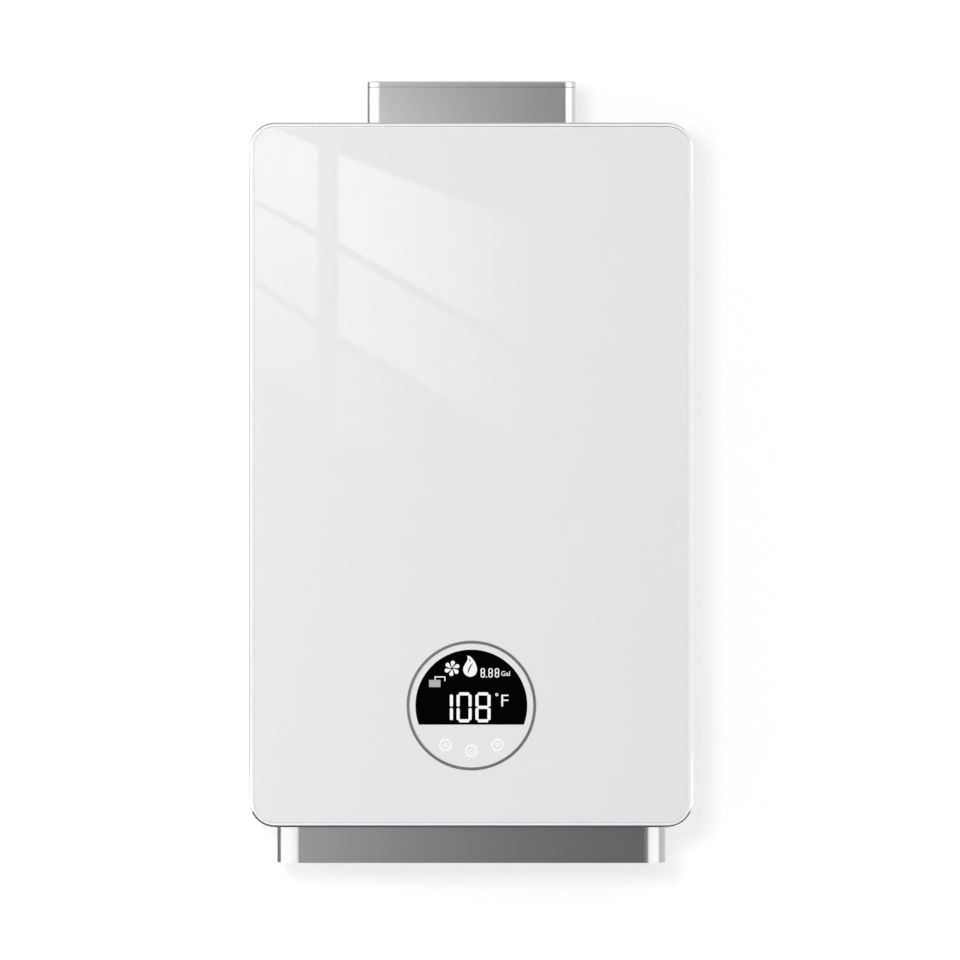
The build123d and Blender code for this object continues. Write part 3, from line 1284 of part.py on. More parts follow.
def spark_parts():
    """Ignition transformer, the spark and flame electrodes, and the lead between them."""
    bottom = TUBE_LEVEL - TRANSFORMER_H
    outer = COVER_INNER - TRANSFORMER_GAP
    middle = outer - TRANSFORMER_W / 2
    depth = (BACK_T, BACK_T + TRANSFORMER_D)
    box = block((outer - TRANSFORMER_W, outer), depth, (bottom, TUBE_LEVEL))
    save("ignition_transformer", fillet(box.edges().filter_by(Axis.Y), TRANSFORMER_R))

    electrodes = []
    end = CHAMBER_FRONT + ELECTRODE_OUT
    inner = CHAMBER_FRONT - ELECTRODE_IN
    collar_depth = (CHAMBER_FRONT, CHAMBER_FRONT + ELECTRODE_COLLAR_T)
    for x in (-ELECTRODE_X, ELECTRODE_X):
        piece = pin_out(ELECTRODE_R, x, (inner, end), ELECTRODE_LEVEL)
        piece += pin_out(ELECTRODE_R + ELECTRODE_COLLAR, x, collar_depth, ELECTRODE_LEVEL)
        piece += pin_out(ELECTRODE_TIP_R, x, (inner - ELECTRODE_TIP_L, inner + OVER), ELECTRODE_LEVEL)
        electrodes.append(piece)
    save("spark_electrodes", *electrodes)

    route = [
        spot(middle, sum(depth) / 2, bottom),
        spot(middle, sum(depth) / 2, ELECTRODE_LEVEL),
        spot(middle, end + LEAD_OUT, ELECTRODE_LEVEL),
        spot(ELECTRODE_X, end + LEAD_OUT, ELECTRODE_LEVEL),
        spot(ELECTRODE_X, end, ELECTRODE_LEVEL),
    ]
    save("ignition_lead", bent_bar(route, [LEAD_BEND, LEAD_BEND, LEAD_LAST_BEND], LEAD_R))


def sensors():
    """Draught pressure switch with its hose, overheat cut-out, and the hot pipe's sensor clip."""
    x = COVER_INNER - SWITCH_GAP - SWITCH_R
    face = BACK_T + SWITCH_T
    nipple = face + NIPPLE_L
    switch = pin_out(SWITCH_R, x, (BACK_T, face), TAP_LEVEL)
    switch = fillet(front_edges(switch), SWITCH_ROUND)
    switch += pin_out(HOSE_R, x, (face - OVER, nipple), TAP_LEVEL)
    route = [
        spot(x, nipple, TAP_LEVEL),
        spot(x, MID, TAP_LEVEL),
        spot(SCROLL_WALL + HOSE_GAP, MID, TAP_LEVEL),
    ]
    save("pressure_switch", switch, bent_tube(route, HOSE_BEND, HOSE_R, HOSE_BORE_R))

    middle = (BURNER_TOP + STACK_TOP) / 2
    depth = (CHAMBER_FRONT, CHAMBER_FRONT + CUTOUT_T)
    cutout = pin_out(CUTOUT_R, 0, depth, middle + CUTOUT_RISE)
    far = tube_depths()[-1]
    low = spot(-HOT_PIPE_X, far, middle - CLIP_DROP - CLIP_L)
    high = spot(-HOT_PIPE_X, far, middle - CLIP_DROP)
    save("temperature_sensors", cutout, tube(PIPE_R + CLIP_WALL, PIPE_R + CLOSE_FIT, low, high))


def main():
    os.makedirs("parts", exist_ok=True)
    back_plate()
    front_cover()
    case_screws()
    bottom_plate()
    panel_frame()
    glass_panel()
    display()
    hood()
    collar()
    petal("damper_petal_front", 1, (-2, 0))
    petal("damper_petal_rear", -1, (-1, 1))
    fittings()
    water_block()
    drain_cock()
    flow_sensor()
    cord_gland()
    water_pipes()
    gas_valve()
    solenoid_core("shutoff", -COIL_X)
    solenoid_core("modulating", COIL_X)
    burner_box()
    save("burner_blades", *[burner_blade(x) for x in blade_places()])
    gas_manifold()
    chamber_shell()
    exchanger()
    stack_brackets()
    smoke_collector()
    blower_housing()
    fan()
    controller()
    spark_parts()
    sensors()


main()
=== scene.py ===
# %% [markdown]
# # A wall-hung water heater with a white glass front
#
# The cabinet, its glass, its hood and everything inside come from the CAD model,
# already the right size. This lesson gives them their finishes, adds what is too
# fine for a solid model, and lights the whole like a product on a white wall.
# The first step loads that model and presses each node's place into its mesh.

from math import cos, pi, radians

import bpy
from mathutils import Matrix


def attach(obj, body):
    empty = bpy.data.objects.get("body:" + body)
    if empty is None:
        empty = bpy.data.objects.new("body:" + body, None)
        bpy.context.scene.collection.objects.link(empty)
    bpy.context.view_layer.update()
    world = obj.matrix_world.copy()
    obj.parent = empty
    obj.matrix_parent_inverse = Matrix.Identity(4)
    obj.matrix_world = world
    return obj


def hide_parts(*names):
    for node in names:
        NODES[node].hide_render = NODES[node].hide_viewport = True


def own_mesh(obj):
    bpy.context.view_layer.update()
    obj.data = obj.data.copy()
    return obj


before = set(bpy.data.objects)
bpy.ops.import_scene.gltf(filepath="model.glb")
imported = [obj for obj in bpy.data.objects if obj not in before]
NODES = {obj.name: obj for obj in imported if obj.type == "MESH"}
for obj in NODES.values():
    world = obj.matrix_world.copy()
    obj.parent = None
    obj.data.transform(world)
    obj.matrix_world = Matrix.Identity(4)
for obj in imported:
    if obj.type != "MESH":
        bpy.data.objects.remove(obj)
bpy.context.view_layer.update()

# %% [markdown]
# ## The sizes this lesson repeats
#
# The heater is measured in millimetres from its skirt's lower rim, as its maker
# would. Blender works in metres, with the wall holes at zero height. One small
# helper turns one into the other. Another picks up pieces, because an operator acts
# on all that is selected.

# %% Sizes and places
MM = 0.001
RIM_Z = -567.5
MODULE_LEVEL = 124.4
GLASS_FRONT = 144.5
MIDDLE_DEPTH = 67.75
FITTING_X = 80.0
THREAD_R = 10.67


def height(level):
    """Height in the model, in metres, of a level above the skirt's rim."""
    return (level + RIM_Z) * MM


def take(*pieces):
    """Leaves edit mode and selects just these pieces, with the first of them active."""
    if bpy.context.object and bpy.context.object.mode != "OBJECT":
        bpy.ops.object.mode_set(mode="OBJECT")
    bpy.ops.object.select_all(action="DESELECT")
    for piece in pieces:
        piece.select_set(True)
    if pieces:
        bpy.context.view_layer.objects.active = pieces[0]


print("display centre", round(height(MODULE_LEVEL), 4), "m")

# %% [markdown]
# ## Nodes with less typing
#
# Every finish is a small net of nodes. A few helpers keep the nets short to read:
# one adds a node and feeds it, one does sums, one mixes two colours. A group starts
# with the sockets it is given, and ends by giving out what it found.

# %% Helpers for nodes
def feed(made, feeds):
    """Feeds a node's inputs, each with a socket of another node or with a plain value."""
    for label, value in dict(feeds).items():
        if isinstance(value, bpy.types.NodeSocket):
            made.id_data.links.new(value, made.inputs[label])
        else:
            made.inputs[label].default_value = value


def node(tree, kind, feeds=(), **options):
    """Adds a shader node with its options set and its inputs fed."""
    made = tree.nodes.new("ShaderNode" + kind)
    for option, value in options.items():
        setattr(made, option, value)
    feed(made, feeds)
    return made


def sum_of(tree, kind, *values):
    """The result of a Math node of the given kind."""
    return node(tree, "Math", enumerate(values), operation=kind).outputs[0]


def ranged(tree, value, ends, **options):
    """A value turned from one range into another."""
    return node(tree, "MapRange", {"Value": value, **ends}, **options).outputs["Result"]


def blend(tree, share, first, second, **options):
    """Two colours mixed by a share."""
    sockets = {"Factor": share, "A": first, "B": second}
    return node(tree, "Mix", sockets, data_type="RGBA", **options).outputs["Result"]


def place_on(tree):
    """The place on the object itself, in metres, as one socket."""
    return node(tree, "TexCoord").outputs["Object"]


def apart(tree):
    """That place as three sockets, named X, Y and Z."""
    return node(tree, "SeparateXYZ", {0: place_on(tree)}).outputs


def length_of(tree, **ways):
    """The length of a vector, given by its parts."""
    vector = node(tree, "CombineXYZ", ways).outputs[0]
    return node(tree, "VectorMath", {0: vector}, operation="LENGTH").outputs["Value"]


def new_group(name, **kinds):
    """An empty shader node group, and the sockets it is given."""
    tree = bpy.data.node_groups.new(name, "ShaderNodeTree")
    for label, kind in kinds.items():
        tree.interface.new_socket(label, in_out="INPUT", socket_type="NodeSocket" + kind)
    return tree, tree.nodes.new("NodeGroupInput").outputs


def give_out(tree, **results):
    """Ends a group. What is called Colour comes out as a colour, all else as a number."""
    for label in results:
        kind = "Color" if label == "Colour" else "Float"
        tree.interface.new_socket(label, in_out="OUTPUT", socket_type="NodeSocket" + kind)
    feed(tree.nodes.new("NodeGroupOutput"), results)
    return tree


print("helpers", [helper.__name__ for helper in (feed, node, sum_of, ranged, blend)])

# %% [markdown]
# ## One pattern for many finishes
#
# No real surface is one even colour. Sheet metal drifts in tone and carries a
# rolled grain, moulded plastic is faintly pebbled. Both are the same idea: a slow
# noise mixes two tones, and a fine noise makes the bump and the roughness. The
# idea is built once as a node group, and each finish gives it its own numbers.

# %% A node group for drift and grain
def build_drift_and_grain():
    """Two tones by slow noise, roughness and height by fine noise."""
    tree, given = new_group("drift_and_grain", Light="Color", Dark="Color", Drift="Float",
                            Grain="Float", Stretch="Vector", Smooth="Float", Rough="Float")
    place = place_on(tree)
    stretched = node(tree, "VectorMath", {0: place, 1: given["Stretch"]}, operation="MULTIPLY")
    slow = node(tree, "TexNoise", {"Vector": place, "Scale": given["Drift"], "Detail": 3.0})
    fine = node(tree, "TexNoise", {"Vector": stretched.outputs["Vector"],
                                   "Scale": given["Grain"], "Detail": 2.0}).outputs["Fac"]
    return give_out(
        tree, Colour=blend(tree, slow.outputs["Fac"], given["Dark"], given["Light"]),
        Roughness=ranged(tree, fine, {"To Min": given["Smooth"], "To Max": given["Rough"]}),
        Height=fine)


DRIFT_AND_GRAIN = build_drift_and_grain()
print("group", DRIFT_AND_GRAIN.name, "with", len(DRIFT_AND_GRAIN.nodes), "nodes")

# %% [markdown]
# ## A finish from a pattern
#
# A finish is a Principled shader fed by a group. What varies over the surface
# comes through the group. What is the same all over, such as how metallic the
# stuff is, is set on the shader itself, where every exporter can find it.

# %% The finish makers
EVEN = (1.0, 1.0, 1.0)


def pattern_finish(name, group, values, metallic, bump, depth):
    """A material whose colour, roughness and height all come from one group."""
    look = bpy.data.materials.new(name)
    look.use_nodes = True
    pattern = node(look.node_tree, "Group", values, node_tree=group).outputs
    relief = node(look.node_tree, "Bump",
                  {"Strength": bump, "Distance": depth, "Height": pattern["Height"]})
    feed(look.node_tree.nodes["Principled BSDF"], {
        "Metallic": metallic, "Base Color": pattern["Colour"],
        "Roughness": pattern["Roughness"], "Normal": relief.outputs["Normal"]})
    return look


def finish(name, light, dark, smooth, rough, metallic=0.0, drift=9.0, grain=900.0,
           stretch=EVEN, bump=0.15, depth=0.00004):
    """A material with drifting tone, fine grain and the given polish."""
    return pattern_finish(name, DRIFT_AND_GRAIN, {
        "Light": (*light, 1.0), "Dark": (*dark, 1.0), "Drift": drift, "Grain": grain,
        "Stretch": stretch, "Smooth": smooth, "Rough": rough}, metallic, bump, depth)


FINISHES = {}
print("a finish stretches its grain", EVEN, "unless told otherwise")

# %% [markdown]
# ## Sheet metal
#
# The cabinet and hood are steel sheet with one silver coat, made in two copies: the cabinet's is
# darker, as painted shade, and the hood's brighter, as painted light. The coat lets only a hint of
# the mill's grain through, so the fine noise is squeezed along it and its bump is slight. The inner
# sheets are galvanised, and get their zinc flowers later.

# %% Silver, stainless and copper sheet
ROLLED_UP = (1.0, 1.0, 0.04)
ROLLED_ACROSS = (0.04, 1.0, 1.0)
# Painted shade and painted light: the cabinet's copy of the silver is set darker and the hood's
# brighter, for how light falls on them.
FINISHES["cabinet_silver_shaded"] = finish(
    "cabinet_silver_shaded", (0.480, 0.480, 0.485), (0.455, 0.455, 0.460), 0.20, 0.23, 1.0,
    drift=5.0, grain=2600.0, stretch=ROLLED_UP, bump=0.012)
FINISHES["hood_silver_lit"] = finish(
    "hood_silver_lit", (0.600, 0.600, 0.600), (0.575, 0.575, 0.575), 0.19, 0.22, 1.0,
    drift=7.0, grain=2600.0, stretch=ROLLED_UP, bump=0.012)
FINISHES["stainless"] = finish(
    "stainless", (0.62, 0.61, 0.60), (0.50, 0.48, 0.46), 0.20, 0.34, 1.0,
    drift=18.0, grain=1200.0, stretch=ROLLED_ACROSS, bump=0.12)
FINISHES["copper"] = finish(
    "copper", (0.83, 0.42, 0.27), (0.58, 0.26, 0.16), 0.22, 0.42, 1.0,
    drift=22.0, grain=700.0, bump=0.10)
print("sheet finishes", sorted(FINISHES))

# %% [markdown]
# ## Zinc flowers
#
# Hot-dip galvanised steel freezes into crystals, each catching the light its own
# way. Voronoi cells are just that: patches with one random value each. The group
# turns the value into a tone and a roughness, so neighbours differ as zinc does.

# %% The galvanised finish
def build_zinc_flowers():
    """Crystal patches of zinc, some brighter and smoother than others."""
    tree, given = new_group("zinc_flowers", Bright="Color", Dull="Color", Size="Float")
    crystals = node(tree, "TexVoronoi", {"Vector": place_on(tree), "Scale": given["Size"]}).outputs
    each = node(tree, "SeparateColor", {"Color": crystals["Color"]}).outputs
    return give_out(
        tree, Colour=blend(tree, each["Red"], given["Dull"], given["Bright"]),
        Roughness=ranged(tree, each["Green"], {"To Min": 0.28, "To Max": 0.48}),
        Height=crystals["Distance"])


ZINC_FLOWERS = build_zinc_flowers()
FLOWERS_A_METRE = 120.0


def galvanise(name):
    """A finish of zinc flowers."""
    return pattern_finish(name, ZINC_FLOWERS, {
        "Bright": (0.66, 0.68, 0.70, 1), "Dull": (0.48, 0.50, 0.52, 1),
        "Size": FLOWERS_A_METRE}, 0.75, 0.05, 0.00003)


FINISHES["galvanised"] = galvanise("galvanised")
print("zinc flowers about", round(1000 / FLOWERS_A_METRE, 1), "mm across")

# %% [markdown]
# ## Spot welds on the back plate
#
# The brackets inside are welded to the back plate, and each weld leaves a round dent
# with a darker ring. They stand in two upright rows at an even pitch. Wrapping the
# height to one pitch repeats one weld all along, with no mesh to copy.

# %% The welded finish
def build_spot_welds():
    """Round dents in two upright rows: how dark and how deep the sheet is there."""
    tree, given = new_group("spot_welds", Row="Float", Pitch="Float", Radius="Float")
    parts = apart(tree)
    from_row = sum_of(tree, "SUBTRACT", sum_of(tree, "ABSOLUTE", parts["X"]), given["Row"])
    half = sum_of(tree, "MULTIPLY", given["Pitch"], 0.5)
    repeat = sum_of(tree, "WRAP", parts["Z"], half, sum_of(tree, "MULTIPLY", half, -1.0))
    share = sum_of(tree, "DIVIDE", length_of(tree, X=from_row, Y=repeat), given["Radius"])
    return give_out(tree, Burn=sum_of(tree, "COMPARE", share, 1.0, 0.28),
                    Dent=ranged(tree, share, {"From Min": 0.6, "From Max": 1.0},
                                interpolation_type="SMOOTHSTEP"))


def weld(look, row, pitch, radius):
    """Adds spot welds, in metres, to a finish made by pattern_finish."""
    tree = look.node_tree
    shader = tree.nodes["Principled BSDF"]
    colour, normal = (shader.inputs[label].links[0].from_socket for label in ("Base Color", "Normal"))
    welds = node(tree, "Group", {"Row": row, "Pitch": pitch, "Radius": radius},
                 node_tree=build_spot_welds()).outputs
    pressed = node(tree, "Bump", {"Strength": 0.6, "Distance": 0.0004,
                                  "Height": welds["Dent"], "Normal": normal})
    feed(shader, {
        "Base Color": blend(tree, welds["Burn"], colour, (0.55, 0.54, 0.52, 1.0),
                            blend_type="MULTIPLY"),
        "Normal": pressed.outputs["Normal"]})


WELD_ROW, WELD_PITCH, WELD_R = 0.128, 0.062, 0.0028
FINISHES["galvanised_back"] = galvanise("galvanised_back")
weld(FINISHES["galvanised_back"], WELD_ROW, WELD_PITCH, WELD_R)
print("welds every", round(WELD_PITCH * 1000), "mm in two rows")

# %% [markdown]
# ## Turned and cast metal
#
# A lathe leaves rings round the part. The fittings stand upright, so a noise that
# changes fast with height and hardly at all across gives those rings. Castings
# have no direction: their skin is coarse and grey, with a stronger bump.

# %% Brass, steel and castings
TURNED = (0.02, 0.02, 1.0)
FINISHES["brass"] = finish(
    "brass", (0.80, 0.60, 0.28), (0.62, 0.43, 0.18), 0.18, 0.34, 1.0,
    drift=60.0, grain=2600.0, stretch=TURNED, bump=0.12)
FINISHES["machined_steel"] = finish(
    "machined_steel", (0.60, 0.60, 0.60), (0.48, 0.48, 0.49), 0.18, 0.36, 1.0,
    drift=50.0, grain=2600.0, stretch=TURNED, bump=0.10)
FINISHES["steel_screws"] = finish(
    "steel_screws", (0.66, 0.66, 0.65), (0.50, 0.50, 0.50), 0.20, 0.36, 1.0,
    drift=120.0, grain=2400.0, bump=0.08)
FINISHES["spring_steel"] = finish(
    "spring_steel", (0.46, 0.46, 0.47), (0.34, 0.34, 0.36), 0.22, 0.38, 1.0,
    drift=150.0, grain=2400.0, bump=0.06)
FINISHES["cast_aluminium"] = finish(
    "cast_aluminium", (0.60, 0.60, 0.60), (0.46, 0.46, 0.47), 0.42, 0.62, 0.9,
    drift=40.0, grain=1300.0, bump=0.45, depth=0.00012)
print("metal finishes now", len(FINISHES))

# %% [markdown]
# ## Plastic, rubber, resin and ceramic
#
# Moulds are sparked or blasted, so plastic has a fine pebble and no direction.
# What tells the stuffs apart is colour and polish: nylon is waxy, silicone dull,
# resin nearly black and slightly shiny, glazed ceramic smooth and warm white.

# %% The moulded and poured stuffs
MOULDED = {
    "inner_plastic": ((0.055, 0.055, 0.060), (0.040, 0.040, 0.045), 0.42, 0.56),
    "grey_plastic": ((0.34, 0.35, 0.36), (0.29, 0.30, 0.31), 0.40, 0.54),
    "white_plastic": ((0.76, 0.76, 0.74), (0.69, 0.69, 0.66), 0.38, 0.50),
    "gland_nylon": ((0.035, 0.035, 0.037), (0.022, 0.022, 0.024), 0.36, 0.50),
    "black_paint": ((0.030, 0.030, 0.032), (0.018, 0.018, 0.020), 0.30, 0.46),
    "coil_resin": ((0.040, 0.045, 0.055), (0.026, 0.028, 0.036), 0.22, 0.36),
    "ceramic": ((0.82, 0.79, 0.73), (0.74, 0.70, 0.62), 0.16, 0.28),
    "silicone": ((0.52, 0.10, 0.06), (0.40, 0.07, 0.04), 0.46, 0.60),
    "hose_rubber": ((0.032, 0.032, 0.032), (0.020, 0.020, 0.020), 0.55, 0.72),
    "foam_tape": ((0.060, 0.060, 0.062), (0.035, 0.035, 0.037), 0.80, 0.95),
}
for label, (light, dark, smooth, rough) in MOULDED.items():
    FINISHES[label] = finish(label, light, dark, smooth, rough, drift=30.0, grain=1800.0,
                             bump=0.22, depth=0.00005)
print("moulded finishes", len(MOULDED))

# %% [markdown]
# ## The circuit board
#
# A board is green lacquer over a net of copper tracks. Tracks run square to each
# other with small jogs, which is what a brick pattern gives: its joints are the
# tracks, and its bricks the lacquer between them. The joints stand a little proud.

# %% Lacquer and tracks
def build_tracks():
    """Green lacquer with a net of lighter tracks under it."""
    tree, given = new_group("tracks", Lacquer="Color", Track="Color", Pitch="Float")
    upright = node(tree, "Mapping", {"Vector": place_on(tree), "Rotation": (radians(90), 0, 0)})
    net = node(tree, "TexBrick", {
        "Vector": upright.outputs["Vector"], "Scale": given["Pitch"],
        "Mortar Size": 0.03, "Mortar Smooth": 0.2}, offset=0.35).outputs["Fac"]
    return give_out(tree, Colour=blend(tree, net, given["Lacquer"], given["Track"]),
                    Roughness=ranged(tree, net, {"To Min": 0.24, "To Max": 0.38}), Height=net)


TRACKS_A_METRE = 160.0
FINISHES["circuit_board"] = pattern_finish(
    "circuit_board", build_tracks(),
    {"Lacquer": (0.010, 0.085, 0.040, 1), "Track": (0.030, 0.200, 0.090, 1),
     "Pitch": TRACKS_A_METRE}, 0.0, 0.3, 0.00004)
print("tracks pitch about", round(500 / TRACKS_A_METRE, 1), "mm")

# %% [markdown]
# ## The front: glass, rim and display
#
# The front is float glass, painted white behind. Seen from outside that is a white surface under a
# mirror-smooth skin, so the roughness stays very low and the white only drifts a little. The drift is
# random, but so slow that it is also a painted reflection: it leaves the glass a shade lighter at the
# left than at the right. The rim is bright aluminium, the display's ring dark, and the window nearly
# black, all of them smooth.

# %% Glass and display finishes
# The slow drift doubles as a painted reflection: the glass comes out a little lighter at the left
# than at the right.
FINISHES["white_glass"] = finish(
    "white_glass", (0.820, 0.820, 0.838), (0.790, 0.790, 0.807), 0.016, 0.020, 0.0,
    drift=2.2, grain=300.0, bump=0.0)
FINISHES["panel_rim"] = finish(
    "panel_rim", (0.80, 0.80, 0.805), (0.76, 0.76, 0.765), 0.07, 0.10, 1.0,
    drift=10.0, grain=1500.0, bump=0.03)
FINISHES["dark_ring"] = finish(
    "dark_ring", (0.33, 0.33, 0.34), (0.27, 0.27, 0.28), 0.22, 0.30, 0.8,
    drift=40.0, grain=1500.0, bump=0.05)
FINISHES["window_black"] = finish(
    "window_black", (0.0010, 0.0010, 0.0012), (0.0006, 0.0006, 0.0008), 0.06, 0.09, 0.0,
    drift=40.0, grain=1200.0, bump=0.0)
FINISHES["key_white"] = finish(
    "key_white", (0.815, 0.815, 0.83), (0.79, 0.79, 0.805), 0.10, 0.14, 0.0,
    drift=20.0, grain=900.0, bump=0.03)
feed(FINISHES["window_black"].node_tree.nodes["Principled BSDF"], {"Specular IOR Level": 0.01})
# The bead's pale white is a painted highlight along the glass's edge.
FINISHES["bead_painted_highlight"] = finish(
    "bead_painted_highlight", (0.90, 0.90, 0.91), (0.84, 0.84, 0.85), 0.30, 0.40, 0.0,
    drift=12.0, grain=1500.0, bump=0.02)
print("finishes in all", len(FINISHES))

# %% [markdown]
# ## The rim's white lip
#
# The rim is bright metal on its rounded outside. Its flat lip next to the glass is painted plain
# white like the glass: a painted highlight, for the bright line along the rim's front. A mask finds
# the lip: it measures how far a point lies inside the rim's rounded outline, and keeps only what lies
# close to the front.

# %% Mask the lip and paint its highlight white
PANEL_HALF = (175.0, 277.5)
PANEL_MIDDLE = 305.5
PANEL_R = 20.5
RIM_ROUND = 2.2
LIP_DEEP = 0.6
LIP_HIGHLIGHT_WHITE = (0.90, 0.90, 0.91, 1.0)
HIGHLIGHT_CREEP = 0.3
HIGHLIGHT_MASK_RAISE = 0.2


def build_lip_mask():
    """One on the flat lip of the rim, nought on its rounded outside and behind."""
    tree, given = new_group("lip_mask", Round="Float")
    parts = apart(tree)
    up = sum_of(tree, "SUBTRACT", parts["Z"], height(PANEL_MIDDLE + HIGHLIGHT_MASK_RAISE))
    beyond = {}
    for label, way, half in (("X", parts["X"], PANEL_HALF[0]), ("Z", up, PANEL_HALF[1])):
        past = sum_of(tree, "SUBTRACT", sum_of(tree, "ABSOLUTE", way), (half - PANEL_R) * MM)
        beyond[label] = sum_of(tree, "MAXIMUM", past, 0.0)
    inside = sum_of(tree, "SUBTRACT", PANEL_R * MM, length_of(tree, **beyond))
    flat = sum_of(tree, "GREATER_THAN", inside, given["Round"])
    ahead = sum_of(tree, "LESS_THAN", parts["Y"], -(GLASS_FRONT - LIP_DEEP) * MM)
    return give_out(tree, Lip=sum_of(tree, "MULTIPLY", flat, ahead))


def paint_lip_highlight(look):
    """Mixes plain white into a metal finish where the lip mask says: a painted highlight along the
    rim's front.
    """
    tree = look.node_tree
    shader = tree.nodes["Principled BSDF"]
    colour = shader.inputs["Base Color"].links[0].from_socket
    lip = node(tree, "Group", {"Round": (RIM_ROUND - HIGHLIGHT_CREEP) * MM},
               node_tree=build_lip_mask()).outputs["Lip"]
    # Painted highlight: the lip turns plain white and not metal, to show a bright line along the
    # rim's front.
    feed(shader, {"Base Color": blend(tree, lip, colour, LIP_HIGHLIGHT_WHITE),
                  "Metallic": ranged(tree, lip, {"To Min": 1.0, "To Max": 0.0})})


paint_lip_highlight(FINISHES["panel_rim"])
print("lip from", RIM_ROUND - HIGHLIGHT_CREEP, "mm inside the rim's edge")

# %% [markdown]
# ## Lit marks
#
# The figures and signs in the window are lit from behind. They glow faintly and
# evenly, with a hint of the screen's dots. The glow is a constant on the shader,
# and only the colour carries the dots.

# %% The lit and printed finishes
def lit_finish(name, light, dark, glow):
    """A finish for a lit mark: its own colour plus a weak glow."""
    look = finish(name, light, dark, 0.30, 0.40, drift=700.0, grain=2500.0, bump=0.0)
    feed(look.node_tree.nodes["Principled BSDF"],
         {"Emission Color": (*light, 1.0), "Emission Strength": glow})
    return look


FINISHES["lit_white"] = lit_finish("lit_white", (0.84, 0.84, 0.84), (0.78, 0.78, 0.78), 0.13)
FINISHES["lit_grey"] = lit_finish("lit_grey", (0.42, 0.42, 0.42), (0.36, 0.36, 0.36), 0.05)
FINISHES["key_print"] = lit_finish("key_print", (0.93, 0.93, 0.94), (0.90, 0.90, 0.91), 0.10)
print("lit finishes", [n for n in FINISHES if n.startswith(("lit", "key_p"))])

# %% [markdown]
# ## Finishes onto the model
#
# Each node came in with one slot, named after its stuff. The finish of that name goes into the slot.
# The cabinet and hood share a stuff, but the cabinet gets a copy darkened as painted shade and the
# hood one brightened as painted light, so those few nodes are named one by one.

# %% Dress the nodes
# The cabinet gets the silver with painted shade, the hood and its lid the silver with painted light.
SHADES = {"front_cover": "cabinet_silver_shaded", "flue_hood": "hood_silver_lit",
          "hood_lid": "hood_silver_lit", "back_plate": "galvanised_back"}
for label, piece in NODES.items():
    for place_in_list, old in enumerate(piece.data.materials):
        stuff = SHADES.get(label, old.name.split(".")[0])
        piece.data.materials[place_in_list] = FINISHES[stuff]
print("dressed", len(NODES), "nodes in", len(FINISHES), "finishes")

# %% [markdown]
# ## How a new piece is finished off
#
# A piece is drawn flat on the ground plane, as on paper, then stood up against the
# front. Its place is then pressed into its mesh, so that the object itself sits at
# the origin like the model's own nodes. Last, it rides on a body, so that it moves
# when that body does.

# %% Standing a drawing up and handing it in
def settle(piece):
    """Presses a piece's own place and turn into its mesh."""
    take(piece)
    bpy.ops.object.transform_apply(location=True, rotation=True, scale=True)
    return piece


def stand_up(piece, x, level, depth):
    """Turns a flat drawing to face the front, at a place in millimetres."""
    piece.rotation_euler = (radians(90), 0, 0)
    piece.location = (x * MM, -depth * MM, height(level))
    settle(piece)


def hand_in(piece, name, stuff, body="cabinet"):
    """Names a finished piece, gives it its finish and body, and says how big it is."""
    piece.name = piece.data.name = name
    piece.data.materials.clear()
    piece.data.materials.append(FINISHES[stuff])
    take(piece)
    bpy.ops.object.shade_smooth_by_angle(angle=radians(35))
    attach(piece, body)
    spans = [round(v * 1000, 1) for v in piece.dimensions]
    print(name, "mm", spans, "faces", len(piece.data.polygons))


def copy_of(piece):
    """A copy with a mesh of its own."""
    take(piece)
    bpy.ops.object.duplicate(linked=False)
    return bpy.context.object


def join(pieces):
    """Makes one object of several, keeping the first."""
    take(*pieces)
    bpy.ops.object.join()
    return bpy.context.object


def pick(piece, test):
    """Selects, in edit mode, just the vertices whose place passes the test."""
    take(piece)
    bpy.ops.object.mode_set(mode="EDIT")
    bpy.ops.mesh.select_mode(type="VERT")
    bpy.ops.mesh.select_all(action="DESELECT")
    bpy.ops.object.mode_set(mode="OBJECT")
    for vertex in piece.data.vertices:
        vertex.select = bool(test(vertex.co))
    bpy.ops.object.mode_set(mode="EDIT")


def whole(piece):
    """Opens a piece in edit mode with all of it selected."""
    take(piece)
    bpy.ops.object.mode_set(mode="EDIT")
    bpy.ops.mesh.select_all(action="SELECT")


def thicken(piece, thickness):
    """Raises a flat drawing by a thickness in millimetres, and closes it below."""
    whole(piece)
    bpy.ops.mesh.extrude_region_move(TRANSFORM_OT_translate={"value": (0, 0, thickness * MM)})
    bpy.ops.mesh.select_all(action="SELECT")
    bpy.ops.mesh.normals_make_consistent(inside=False)
    bpy.ops.object.mode_set(mode="OBJECT")


MARK_T = 0.10
MARK_SUNK = 0.04


def put_on(drawing, name, stuff="lit_white"):
    """Thickens a drawing, stands it on the display and hands it in."""
    thicken(drawing, MARK_T)
    stand_up(drawing, 0, MODULE_LEVEL, GLASS_FRONT - MARK_SUNK)
    hand_in(drawing, name, stuff)


print("marks stand", round(MARK_T - MARK_SUNK, 2), "mm proud of the window")

# %% [markdown]
# ## One segment
#
# A seven-segment figure is seven copies of one bar with pointed ends. A circle of
# six corners already has the points. Moving its upper half up and its lower half
# down stretches it into the bar, and the points keep their angle.

# %% Draw a segment
def segment(length, width):
    """A flat upright bar with pointed ends, at the origin, in millimetres."""
    take()
    bpy.ops.mesh.primitive_circle_add(vertices=6, radius=width / 2 * MM / cos(radians(30)),
                                      fill_type="NGON")
    bar = bpy.context.object
    point = width / 2 / cos(radians(30))
    for side in (1, -1):
        pick(bar, lambda co, side=side: co.y * side > 0)
        shift = side * (length / 2 - point) * MM
        bpy.ops.transform.translate(value=(0, shift, 0))
        bpy.ops.object.mode_set(mode="OBJECT")
    return bar


